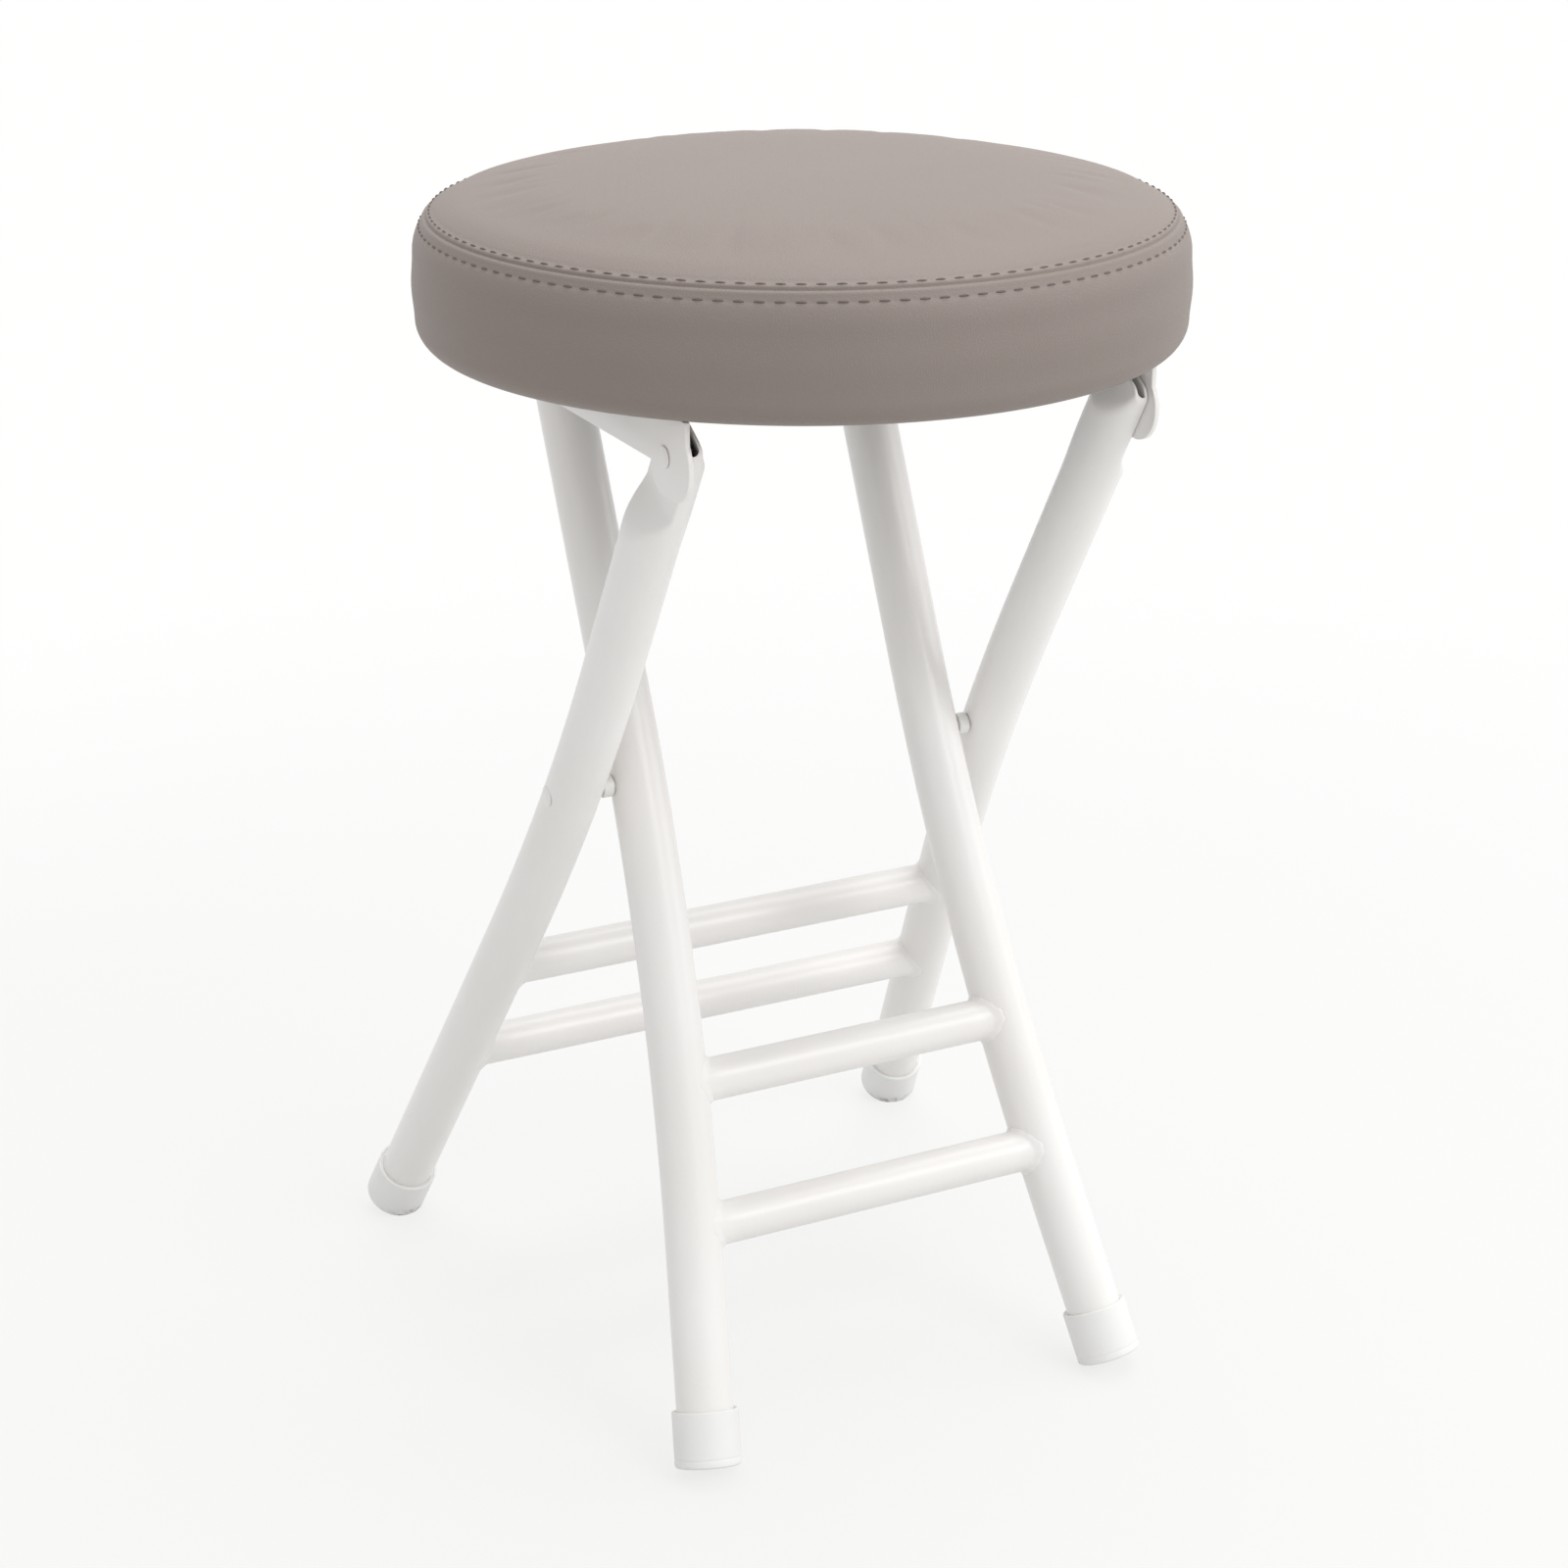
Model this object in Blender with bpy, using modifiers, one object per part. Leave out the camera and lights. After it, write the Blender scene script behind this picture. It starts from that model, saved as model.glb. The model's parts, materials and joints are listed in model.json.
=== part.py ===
"""Folding stool with a round padded seat on two crossed frames of bent steel tube.

The wide outer frame is hinged to two side rails under the front of the seat. The narrow
inner frame is one tube bent like an upside-down U, and its crossbar lies in two nylon
hooks under the back of the seat. Both frames turn on two rivets where the legs cross.
Metres, +Z up, X across the stool, the front of the seat towards -Y. The feet stand on
z = 0 and the origin is the middle of the stool's plan.
"""
import math

import bmesh
import bpy
from mathutils import Matrix, Vector

# Clearances
GAP = 0.0003
FOLD_CLEARANCE = 0.0006

# Points of one mesh closer than this are one point
MERGE_DISTANCE = 0.000001

# Seat cushion
SEAT_RADIUS = 0.145
SEAT_UNDERSIDE = 0.4174
SEAT_RIM_HEIGHT = 0.0541
SEAT_CROWN = 0.0076
SEAT_AHEAD_OF_CROSSING = 0.0119
CROWN_POWER = 3.2
SHOULDER_RADIUS = 0.0224
SHOULDER_HEIGHT = 0.0202
SHOULDER_TOP_ANGLE = math.radians(76)
SEAM_ANGLE = math.radians(45)
SIDE_BULGE = 0.0008
LOWER_EDGE_RADIUS = 0.0096
COVER_SHEET = 0.001
HEM_WIDTH = 0.017
LINING_SHEET = 0.001
BOARD_THICKNESS = 0.012
CUSHION_STEPS = 48
CROWN_RINGS = 5
SHOULDER_RINGS = 4
SIDE_RINGS = 3
EDGE_ARC_POINTS = 4

# Frame tubes
TUBE_RADIUS = 0.0111
TUBE_WALL = 0.0012
TUBE_SIDES = 20
CROSSING_HEIGHT = 0.2438
OUTER_TILT = math.radians(31.0)
INNER_TILT = math.radians(25.5)
INNER_HALF_WIDTH = 0.0649
CROSSING_SPACE = 0.0053
SPLAY_SLOPE = 0.1494
OUTER_SPLAY_START = 0.3072
OUTER_SPLAY_FULL = 0.1632
INNER_SPLAY_START = 0.2755
INNER_SPLAY_FULL = 0.0739
SPLAY_RINGS = 6
CROSSBAR_BEND_RADIUS = 0.024
CROSSBAR_BEND_POINTS = 7

# Outer leg tops, pressed flat on the outside where a rail lies against them
PRESSED_FLAT_OFFSET = 0.00105
PRESSED_HALF_WIDTH = 0.0124
PRESS_RUN_OUT = 0.015
PRESS_RINGS = 4

# Ends of the outer legs, whose inner side is squeezed towards the flat
LEG_END_LENGTH = 0.0132
LEG_END_CORNER = 0.006
LEG_END_DEPTH = 0.004
SQUEEZED_LENGTH = 0.0177
SQUEEZE_POWER = 1.5
SQUEEZE_RINGS = 4

# Foot rungs
RUNG_RADIUS = 0.0085
RUNG_WALL = 0.001
RUNG_SIDES = 16
COPE_SIDES = 32
OUTER_RUNG_HEIGHTS = {"upper": 0.1477, "lower": 0.0985}
INNER_RUNG_HEIGHTS = {"upper": 0.1356, "lower": 0.0856}
COPE_HALF_LENGTH = 0.02

# Foot caps
CAP_WALL = 0.0016
CAP_LENGTH = 0.0215
CAP_FLOOR = 0.0035
CAP_EDGE = 0.001
CAP_LIP = 0.0004
CAP_WORN_DEPTH = 0.0009
CAP_STEPS = 24

# Rivets and spacers
RIVET_RADIUS = 0.0028
RIVET_HEAD_RADIUS = 0.004
RIVET_HEAD_HEIGHT = 0.0007
RIVET_TAIL_RADIUS = 0.0043
RIVET_TAIL_HEIGHT = 0.0015
RIVET_CROWN = 0.8
RIVET_RIM = 0.3
RIVET_STEPS = 16
SPACER_WALL = 0.0013

# Side rails
RAIL_SHEET = 0.002
RAIL_DEPTH = 0.0196
RAIL_FRONT = 0.0169
RAIL_REAR_CORNER = 0.012
RAIL_FLANGE_WIDTH = 0.018
RAIL_FLANGE_START = 0.018
RAIL_RELIEF = 0.0015
EAR_RADIUS = 0.0132
EAR_AHEAD = 0.0067
EAR_LOWERED = 0.0011
EAR_REAR_RADIUS = 0.01
EAR_REAR_OFFSET = 0.002
EAR_ARC_POINTS = 9
RAIL_SCREW_BEHIND_PIVOT = 0.042
RAIL_SCREW_BEFORE_HEM = 0.0218
RAIL_END_BEHIND_SCREW = 0.03

# Crossbar hooks
HOOK_SHEET = 0.0025
HOOK_FOOT_SHEET = 0.0022
HOOK_FOOT_DRAFT = 0.0003
HOOK_WIDTH = 0.02
HOOK_OFFSET = 0.028
HOOK_FOOT = 0.022
HOOK_SCREW_OFFSET = 0.017
HOOK_FRONT_WRAP = math.radians(55)
HOOK_REAR_WRAP = math.radians(105)
HOOK_ARC_POINTS = 9

# Screws and tee nuts
RAIL_SCREW_RADIUS = 0.0025
RAIL_SCREW_HEAD = 0.0045
RAIL_SCREW_HEAD_HEIGHT = 0.0028
TEE_NUT_WALL = 0.0011
TEE_NUT_FLANGE = 0.008
TEE_NUT_SHEET = 0.0012
HOOK_SCREW_RADIUS = 0.00175
HOOK_SCREW_HEAD = 0.0036
HOOK_SCREW_HEAD_HEIGHT = 0.0022
HOOK_SCREW_BITE = 0.0095
HOOK_SCREW_POINT = 0.0035
SCREW_HEAD_CROWN = 0.6
SCREW_HEAD_RIM = 0.5
SCREW_STEPS = 14

# Colours: name, base colour, metallic, roughness
FINISHES = {
    "white_powder_coat": ((0.86, 0.85, 0.84), 0.0, 0.35),
    "white_plastic": ((0.88, 0.88, 0.87), 0.0, 0.45),
    "taupe_leathercloth": ((0.33, 0.29, 0.27), 0.0, 0.55),
    "foam": ((0.82, 0.76, 0.55), 0.0, 0.9),
    "plywood": ((0.62, 0.47, 0.30), 0.0, 0.7),
    "grey_felt": ((0.20, 0.19, 0.18), 0.0, 0.95),
    "zinc_steel": ((0.70, 0.71, 0.72), 1.0, 0.35),
    "white_nylon": ((0.85, 0.85, 0.83), 0.0, 0.5),
}


def leg_splay(height, start, full):
    """Sideways growth of a leg: none above start, bending in down to full, then straight."""
    if height >= start:
        return 0.0
    if height >= full:
        return SPLAY_SLOPE * (start - height) ** 2 / (2 * (start - full))
    return SPLAY_SLOPE * ((start - full) / 2 + full - height)


def splay_slope(height, start, full):
    """Sideways slope of a leg at a height."""
    share = (start - height) / (start - full)
    return SPLAY_SLOPE * min(max(share, 0.0), 1.0)


OUTER_CROSSING_SPLAY = leg_splay(CROSSING_HEIGHT, OUTER_SPLAY_START, OUTER_SPLAY_FULL)
INNER_CROSSING_SPLAY = leg_splay(CROSSING_HEIGHT, INNER_SPLAY_START, INNER_SPLAY_FULL)
INNER_AT_CROSSING = INNER_HALF_WIDTH + INNER_CROSSING_SPLAY
OUTER_AT_CROSSING = INNER_AT_CROSSING + 2 * TUBE_RADIUS + CROSSING_SPACE
OUTER_CROSSING_SLOPE = splay_slope(CROSSING_HEIGHT, OUTER_SPLAY_START, OUTER_SPLAY_FULL)
INNER_CROSSING_SLOPE = splay_slope(CROSSING_HEIGHT, INNER_SPLAY_START, INNER_SPLAY_FULL)
OUTER_HALF_WIDTH = OUTER_AT_CROSSING - OUTER_CROSSING_SPLAY

# The pressed flat runs down past the reach of the rail's ear as the seat folds
PRESSED_FACE_X = OUTER_HALF_WIDTH + PRESSED_FLAT_OFFSET
PRESSED_BELOW_PIVOT = EAR_AHEAD + EAR_RADIUS + GAP

CAP_RADIUS = TUBE_RADIUS + GAP + CAP_WALL

LEG_END_REACH = LEG_END_CORNER + math.hypot(PRESSED_HALF_WIDTH - LEG_END_CORNER,
                                            LEG_END_LENGTH - LEG_END_CORNER)
PIVOT_DROP = LEG_END_REACH + FOLD_CLEARANCE
PIVOT_HEIGHT = SEAT_UNDERSIDE - PIVOT_DROP

CROSSBAR_HEIGHT = SEAT_UNDERSIDE - GAP - HOOK_SHEET - GAP - TUBE_RADIUS

RAIL_TOP = SEAT_UNDERSIDE - GAP
RAIL_INNER_X = PRESSED_FACE_X + GAP
RAIL_OUTER_X = RAIL_INNER_X + RAIL_SHEET
RAIL_SCREW_X = RAIL_OUTER_X - RAIL_FLANGE_WIDTH / 2

BOARD_BOTTOM = SEAT_UNDERSIDE + COVER_SHEET + GAP
BOARD_TOP = BOARD_BOTTOM + BOARD_THICKNESS
SEAT_RIM = SEAT_UNDERSIDE + SEAT_RIM_HEIGHT
HEM_RADIUS = SEAT_RADIUS - SIDE_BULGE - LOWER_EDGE_RADIUS - HEM_WIDTH


def foot_direction(tilt):
    """Unit vector down a splayed leg on the +X side, for a frame that leans by tilt."""
    return Vector((SPLAY_SLOPE, math.tan(tilt), -1.0)).normalized()


def foot_height(tilt):
    """Height of the middle of a foot cap's lower face, with its worn edge on the floor."""
    drop = math.sqrt(1 - foot_direction(tilt).z ** 2)
    return CAP_RADIUS * drop - CAP_WORN_DEPTH


def cap_reach(tilt):
    """Reach in Y of a foot cap's rounded edge beyond the middle of its lower face."""
    lean = foot_direction(tilt).y
    return (CAP_RADIUS - CAP_EDGE) * math.sqrt(1 - lean ** 2) + CAP_EDGE * (1 - lean)


# The stool's plan is centred on the origin, so the crossing lies a little off it
REAR_REACH = ((CROSSING_HEIGHT - foot_height(OUTER_TILT)) * math.tan(OUTER_TILT)
              + cap_reach(OUTER_TILT))
FRONT_REACH = SEAT_AHEAD_OF_CROSSING + SEAT_RADIUS
CROSSING_Y = (FRONT_REACH - REAR_REACH) / 2
SEAT_Y = CROSSING_Y - SEAT_AHEAD_OF_CROSSING


def outer_y(height):
    """Y of the outer frame's plane at a height."""
    return CROSSING_Y + (CROSSING_HEIGHT - height) * math.tan(OUTER_TILT)


def inner_y(height):
    """Y of the inner frame's plane at a height."""
    return CROSSING_Y - (CROSSING_HEIGHT - height) * math.tan(INNER_TILT)


PIVOT_Y = outer_y(PIVOT_HEIGHT)
CROSSBAR_Y = inner_y(CROSSBAR_HEIGHT)

# Rail screws, measured from the pivot: one behind the leg's top, one before the hem
HEM_BEHIND_PIVOT = SEAT_Y + math.sqrt(HEM_RADIUS ** 2 - RAIL_SCREW_X ** 2) - PIVOT_Y
RAIL_SCREW_POSITIONS = {"front": RAIL_SCREW_BEHIND_PIVOT,
                        "rear": HEM_BEHIND_PIVOT - RAIL_SCREW_BEFORE_HEM}
RAIL_REAR = RAIL_SCREW_POSITIONS["rear"] + RAIL_END_BEHIND_SCREW


def outer_leg_x(height):
    """Half width of the outer frame at a height."""
    return OUTER_HALF_WIDTH + leg_splay(height, OUTER_SPLAY_START, OUTER_SPLAY_FULL)


def inner_leg_x(height):
    """Half width of the inner frame at a height."""
    return INNER_HALF_WIDTH + leg_splay(height, INNER_SPLAY_START, INNER_SPLAY_FULL)


def clear_scene():
    """Remove every object and collection that the file opened with."""
    for thing in list(bpy.data.objects):
        bpy.data.objects.remove(thing, do_unlink=True)
    for group in list(bpy.data.collections):
        bpy.data.collections.remove(group)


def make_collection(name):
    """New collection under the scene's own."""
    group = bpy.data.collections.new(name)
    bpy.context.scene.collection.children.link(group)
    return group


clear_scene()
PARTS = make_collection("folding_stool")
CUTTERS = make_collection("cutters")


def make_material(name):
    """Principled material of one of the named finishes."""
    colour, metallic, roughness = FINISHES[name]
    material = bpy.data.materials.new(name)
    material.use_nodes = True
    shader = material.node_tree.nodes["Principled BSDF"]
    shader.inputs["Base Color"].default_value = (*colour, 1.0)
    shader.inputs["Metallic"].default_value = metallic
    shader.inputs["Roughness"].default_value = roughness
    material.diffuse_color = (*colour, 1.0)
    return material


def add_part(name, mesh, finish, place=None):
    """Put a mesh into the stool as a named piece with its own material."""
    part = bpy.data.objects.new(name, mesh)
    PARTS.objects.link(part)
    material = make_material(finish)
    material.name = f"{name}_{finish}"
    mesh.materials.clear()
    mesh.materials.append(material)
    if place is not None:
        part.matrix_world = place
    return part


def smooth(mesh, angle=math.radians(35)):
    """Shade round faces smooth and keep sharp edges sharp."""
    mesh.shade_smooth()
    mesh.set_sharp_from_angle(angle=angle)


def as_cutter(thing):
    """Move an object to the cutters, shown as wires and never rendered."""
    for group in list(thing.users_collection):
        group.objects.unlink(thing)
    CUTTERS.objects.link(thing)
    thing.hide_render = True
    thing.display_type = "WIRE"
    return thing


def boolean(part, other, operation="DIFFERENCE"):
    """Exact Boolean of a piece with another object."""
    modifier = part.modifiers.new(f"{operation.lower()}_{other.name}", "BOOLEAN")
    modifier.object = other
    modifier.operation = operation
    modifier.solver = "EXACT"
    return modifier


def along(start, end):
    """Placement at start with +Z towards end."""
    direction = Vector(end) - Vector(start)
    turn = direction.to_track_quat("Z", "Y").to_matrix().to_4x4()
    return Matrix.Translation(start) @ turn


def cylinder_mesh(name, radius, length, sides, filled=True):
    """Cylinder from z = 0 to z = length, open at both ends if not filled."""
    mesh = bpy.data.meshes.new(name)
    shape = bmesh.new()
    bmesh.ops.create_cone(shape, cap_ends=filled, segments=sides, radius1=radius,
                          radius2=radius, depth=length)
    bmesh.ops.translate(shape, verts=shape.verts, vec=(0, 0, length / 2))
    shape.to_mesh(mesh)
    shape.free()
    smooth(mesh)
    return mesh


def cylinder_cutter(name, radius, start, end, sides=RIVET_STEPS):
    """Round cutter between two points."""
    length = (Vector(end) - Vector(start)).length
    cutter = bpy.data.objects.new(name, cylinder_mesh(name, radius, length, sides))
    cutter.matrix_world = along(start, end)
    return as_cutter(cutter)


def turned(name, profile, steps, finish, place):
    """Piece turned on +Z from a profile of (radius, height), top to bottom outside."""
    mesh = bpy.data.meshes.new(name)
    pairs = [(i, (i + 1) % len(profile)) for i in range(len(profile))]
    off_axis = [pair for pair in pairs if profile[pair[0]][0] > 0 or profile[pair[1]][0] > 0]
    mesh.from_pydata([(radius, 0, height) for radius, height in profile], off_axis, [])
    part = add_part(name, mesh, finish, place)
    add_screw(part, steps)
    return part


def add_screw(part, steps):
    """Full turn of a profile about its own Z axis."""
    screw = part.modifiers.new("turn", "SCREW")
    screw.steps = steps
    screw.render_steps = steps
    screw.use_merge_vertices = True
    screw.merge_threshold = MERGE_DISTANCE
    screw.use_smooth_shade = True
    return screw


def arc(centre, radius, start, end, count):
    """Points on an arc from one angle to another, both ends included."""
    points = []
    for step in range(count):
        angle = start + (end - start) * step / (count - 1)
        points.append((centre[0] + radius * math.cos(angle),
                       centre[1] + radius * math.sin(angle)))
    return points


def sheet_outline(name, points, thickness, finish, centre):
    """Flat piece cut to an outline in the YZ plane, its thickness across X."""
    curve = bpy.data.curves.new(name, "CURVE")
    curve.dimensions = "2D"
    curve.fill_mode = "BOTH"
    curve.extrude = thickness / 2
    spline = curve.splines.new("POLY")
    spline.points.add(len(points) - 1)
    for point, (across, up) in zip(spline.points, points):
        point.co = (across, up, 0, 1)
    spline.use_cyclic_u = True
    drawn = bpy.data.objects.new(name, curve)
    PARTS.objects.link(drawn)
    mesh = curve_to_mesh(drawn)
    place = Matrix(((0, 0, 1, centre[0]), (1, 0, 0, centre[1]), (0, 1, 0, centre[2]),
                    (0, 0, 0, 1)))
    return add_part(name, mesh, finish, place)


def curve_to_mesh(drawn):
    """Welded mesh of a curve object, which is removed."""
    bpy.context.view_layer.update()
    shown = drawn.evaluated_get(bpy.context.evaluated_depsgraph_get())
    mesh = bpy.data.meshes.new_from_object(shown)
    shape = bmesh.new()
    shape.from_mesh(mesh)
    bmesh.ops.remove_doubles(shape, verts=shape.verts, dist=MERGE_DISTANCE)
    bmesh.ops.recalc_face_normals(shape, faces=shape.faces)
    shape.to_mesh(mesh)
    shape.free()
    bpy.data.objects.remove(drawn, do_unlink=True)
    return mesh


def box_mesh(name, low, high):
    """Box between two corners."""
    mesh = bpy.data.meshes.new(name)
    shape = bmesh.new()
    bmesh.ops.create_cube(shape, size=1.0)
    size = Vector(high) - Vector(low)
    bmesh.ops.scale(shape, verts=shape.verts, vec=size)
    bmesh.ops.translate(shape, verts=shape.verts, vec=(Vector(high) + Vector(low)) / 2)
    shape.to_mesh(mesh)
    shape.free()
    return mesh


SIDES = {"left": -1, "right": 1}


def tube_section(radius, flat, depth, half_width, count):
    """Points round a tube pressed flat on its outer side and to a depth on its inner."""
    points = []
    for step in range(count):
        angle = 2 * math.pi * (step + 0.5) / count
        wide = max(min(radius * math.cos(angle), flat), -depth)
        points.append((wide, half_width * math.sin(angle)))
    return points


def outer_leg_rings():
    """Heights down the outer leg, each with its share of pressing and its inner depth."""
    rise = math.cos(OUTER_TILT)
    above_end = LEG_END_LENGTH + LEG_END_CORNER
    rings = [(PIVOT_HEIGHT + above_end * rise, 1.0, LEG_END_DEPTH)]
    for step in range(1, SQUEEZE_RINGS + 1):
        share = step / SQUEEZE_RINGS
        above = LEG_END_LENGTH - SQUEEZED_LENGTH * share
        depth = LEG_END_DEPTH + (TUBE_RADIUS - LEG_END_DEPTH) * share ** SQUEEZE_POWER
        rings.append((PIVOT_HEIGHT + above * rise, 1.0, depth))
    for step in range(PRESS_RINGS + 1):
        share = step / PRESS_RINGS
        height = PIVOT_HEIGHT - (PRESSED_BELOW_PIVOT + PRESS_RUN_OUT * share) * rise
        rings.append((height, math.cos(math.pi / 2 * share) ** 2, TUBE_RADIUS))
    for step in range(SPLAY_RINGS + 1):
        share = step / SPLAY_RINGS
        height = OUTER_SPLAY_START + (OUTER_SPLAY_FULL - OUTER_SPLAY_START) * share
        rings.append((height, 0.0, TUBE_RADIUS))
    tube_end = (CAP_FLOOR + GAP) * -foot_direction(OUTER_TILT).z
    rings.append((foot_height(OUTER_TILT) + tube_end, 0.0, TUBE_RADIUS))
    return rings


def outer_leg_loop(height, press, depth, inset):
    """Points round the leg at a height, inset by the tube's wall for the bore."""
    centre = Vector((outer_leg_x(height), outer_y(height), height))
    slope = splay_slope(height, OUTER_SPLAY_START, OUTER_SPLAY_FULL)
    down = Vector((slope, math.tan(OUTER_TILT), -1)).normalized()
    across = (Vector((1, 0, 0)) - down * down.x).normalized()
    fore = down.cross(across)
    flat = TUBE_RADIUS + (PRESSED_FLAT_OFFSET - TUBE_RADIUS) * press
    half_width = TUBE_RADIUS + (PRESSED_HALF_WIDTH - TUBE_RADIUS) * press
    section = tube_section(TUBE_RADIUS - inset, flat - inset, depth - inset,
                           half_width - inset, TUBE_SIDES)
    return [centre + across * wide + fore * deep for wide, deep in section]


def outer_leg_mesh(name, side):
    """Leg tube lofted from its pressed top to its round foot, with an open bore."""
    shape = bmesh.new()
    skins = []
    for inset in (0.0, TUBE_WALL):
        loops = []
        for height, press, depth in outer_leg_rings():
            loop = outer_leg_loop(height, press, depth, inset)
            loops.append([shape.verts.new((p.x * side, p.y, p.z)) for p in loop])
        skins.append(loops)
    for loops in skins:
        for upper, lower in zip(loops, loops[1:]):
            bridge(shape, upper, lower)
    for end in (0, -1):
        bridge(shape, skins[0][end], skins[1][end])
    bmesh.ops.recalc_face_normals(shape, faces=shape.faces)
    mesh = bpy.data.meshes.new(name)
    shape.to_mesh(mesh)
    shape.free()
    smooth(mesh)
    return mesh


def bridge(shape, first, second):
    """Band of quads between two loops of the same count."""
    count = len(first)
    for index in range(count):
        following = (index + 1) % count
        shape.faces.new((first[index], first[following], second[following], second[index]))


def leg_end_cutter(name, side):
    """Cutter that leaves a square end with round corners on the pressed top."""
    corner = LEG_END_CORNER
    across = PRESSED_HALF_WIDTH - corner
    up = LEG_END_LENGTH - corner
    reach = 3 * LEG_END_LENGTH
    points = [(reach, up), (reach, reach), (-reach, reach), (-reach, up)]
    points += arc((-across, up), corner, math.pi, math.pi / 2, EAR_ARC_POINTS)
    points += arc((across, up), corner, math.pi / 2, 0, EAR_ARC_POINTS)
    turn = Matrix.Rotation(OUTER_TILT, 2)
    turned_points = [tuple(turn @ Vector(point)) for point in points]
    centre = (side * OUTER_HALF_WIDTH, PIVOT_Y, PIVOT_HEIGHT)
    cutter = sheet_outline(name, turned_points, 4 * TUBE_RADIUS, "zinc_steel", centre)
    return as_cutter(cutter)


def make_outer_legs(pivot_holes, crossing_holes):
    """Two outer legs, each drilled for the seat pivot and for the crossing rivet."""
    for word, side in SIDES.items():
        name = f"outer_leg_{word}"
        leg = add_part(name, outer_leg_mesh(name, side), "white_powder_coat")
        boolean(leg, pivot_holes[word])
        boolean(leg, crossing_holes[word])
        boolean(leg, leg_end_cutter(f"leg_end_{word}", side))


def inner_frame_points():
    """Centreline of the inner frame from the left foot over the crossbar to the right."""
    tube_end = (CAP_FLOOR + GAP) * -foot_direction(INNER_TILT).z
    heights = [foot_height(INNER_TILT) + tube_end]
    for step in range(SPLAY_RINGS + 1):
        share = step / SPLAY_RINGS
        heights.append(INNER_SPLAY_FULL + (INNER_SPLAY_START - INNER_SPLAY_FULL) * share)
    leg = [(inner_leg_x(height), height) for height in heights]
    rise = math.cos(INNER_TILT)
    for step in range(CROSSBAR_BEND_POINTS):
        angle = math.pi / 2 * step / (CROSSBAR_BEND_POINTS - 1)
        across = INNER_HALF_WIDTH - CROSSBAR_BEND_RADIUS * (1 - math.cos(angle))
        below = CROSSBAR_BEND_RADIUS * (1 - math.sin(angle))
        leg.append((across, CROSSBAR_HEIGHT - below * rise))
    path = [(-across, height) for across, height in leg]
    path += [(across, height) for across, height in reversed(leg)]
    return [(across, inner_y(height), height) for across, height in path]


def make_inner_frame(crossing_holes):
    """Inner frame, one tube bent like an upside-down U, drilled at the crossing."""
    name = "inner_frame_tube"
    curve = bpy.data.curves.new(name, "CURVE")
    curve.dimensions = "3D"
    curve.bevel_depth = TUBE_RADIUS
    curve.bevel_resolution = (TUBE_SIDES - 4) // 2
    points = inner_frame_points()
    spline = curve.splines.new("POLY")
    spline.points.add(len(points) - 1)
    for point, place in zip(spline.points, points):
        point.co = (*place, 1)
    drawn = bpy.data.objects.new(name, curve)
    PARTS.objects.link(drawn)
    mesh = curve_to_mesh(drawn)
    tube = add_part(name, mesh, "white_powder_coat")
    wall = tube.modifiers.new("wall", "SOLIDIFY")
    wall.thickness = TUBE_WALL
    wall.offset = -1
    smooth(mesh)
    for hole in crossing_holes.values():
        boolean(tube, hole)
    return tube


def make_rungs(frame, heights, leg_x, plane_y, tilt):
    """Two rungs of a frame, their ends coped to the leg tubes."""
    for word, height in heights.items():
        half = leg_x(height)
        depth = plane_y(height)
        name = f"{frame}_rung_{word}"
        reach = half - TUBE_RADIUS / 2
        mesh = cylinder_mesh(name, RUNG_RADIUS, 2 * reach, RUNG_SIDES, filled=False)
        rung = add_part(name, mesh, "white_powder_coat",
                        along((-reach, depth, height), (reach, depth, height)))
        wall = rung.modifiers.new("wall", "SOLIDIFY")
        wall.thickness = RUNG_WALL
        wall.offset = -1
        for side_word, side in SIDES.items():
            ends = []
            for offset in (COPE_HALF_LENGTH, -COPE_HALF_LENGTH):
                lean = math.tan(tilt) * -offset
                slope = (leg_x(height + offset) - half) * side
                ends.append((half * side + slope, depth + lean, height + offset))
            cutter = cylinder_cutter(f"cope_{name}_{side_word}", TUBE_RADIUS + GAP,
                                     ends[0], ends[1], COPE_SIDES)
            boolean(rung, cutter)


def cap_profile():
    """Foot cap section: a cup with a rounded lower edge, its lower face at height 0."""
    bore = TUBE_RADIUS + GAP
    profile = [(CAP_RADIUS - CAP_LIP, CAP_LENGTH), (CAP_RADIUS, CAP_LENGTH - CAP_LIP)]
    profile += arc((CAP_RADIUS - CAP_EDGE, CAP_EDGE), CAP_EDGE, 0, -math.pi / 2,
                   EDGE_ARC_POINTS)
    return profile + [(0, 0), (0, CAP_FLOOR), (bore, CAP_FLOOR), (bore, CAP_LENGTH)]


def make_cap(name, foot, up, floor_cutter):
    """Foot cap on a tube end, cut flat where it is worn by the floor."""
    place = along(foot, Vector(foot) + up)
    cap = turned(name, cap_profile(), CAP_STEPS, "white_plastic", place)
    boolean(cap, floor_cutter)
    return cap


def make_caps(frame, leg_x, plane_y, tilt, lean, floor_cutter):
    """Foot caps of one frame; lean is the side of Y that its feet point to."""
    height = foot_height(tilt)
    for word, side in SIDES.items():
        down = foot_direction(tilt)
        foot = (leg_x(height) * side, plane_y(height), height)
        up = Vector((-down.x * side, -down.y * lean, -down.z))
        make_cap(f"{frame}_foot_cap_{word}", foot, up, floor_cutter)


def floor_box():
    """Block below the floor that the worn caps are cut against."""
    reach = 2 * SEAT_RADIUS
    mesh = box_mesh("floor", (-reach, -reach, -reach), (reach, reach, 0))
    return as_cutter(bpy.data.objects.new("floor", mesh))


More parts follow.
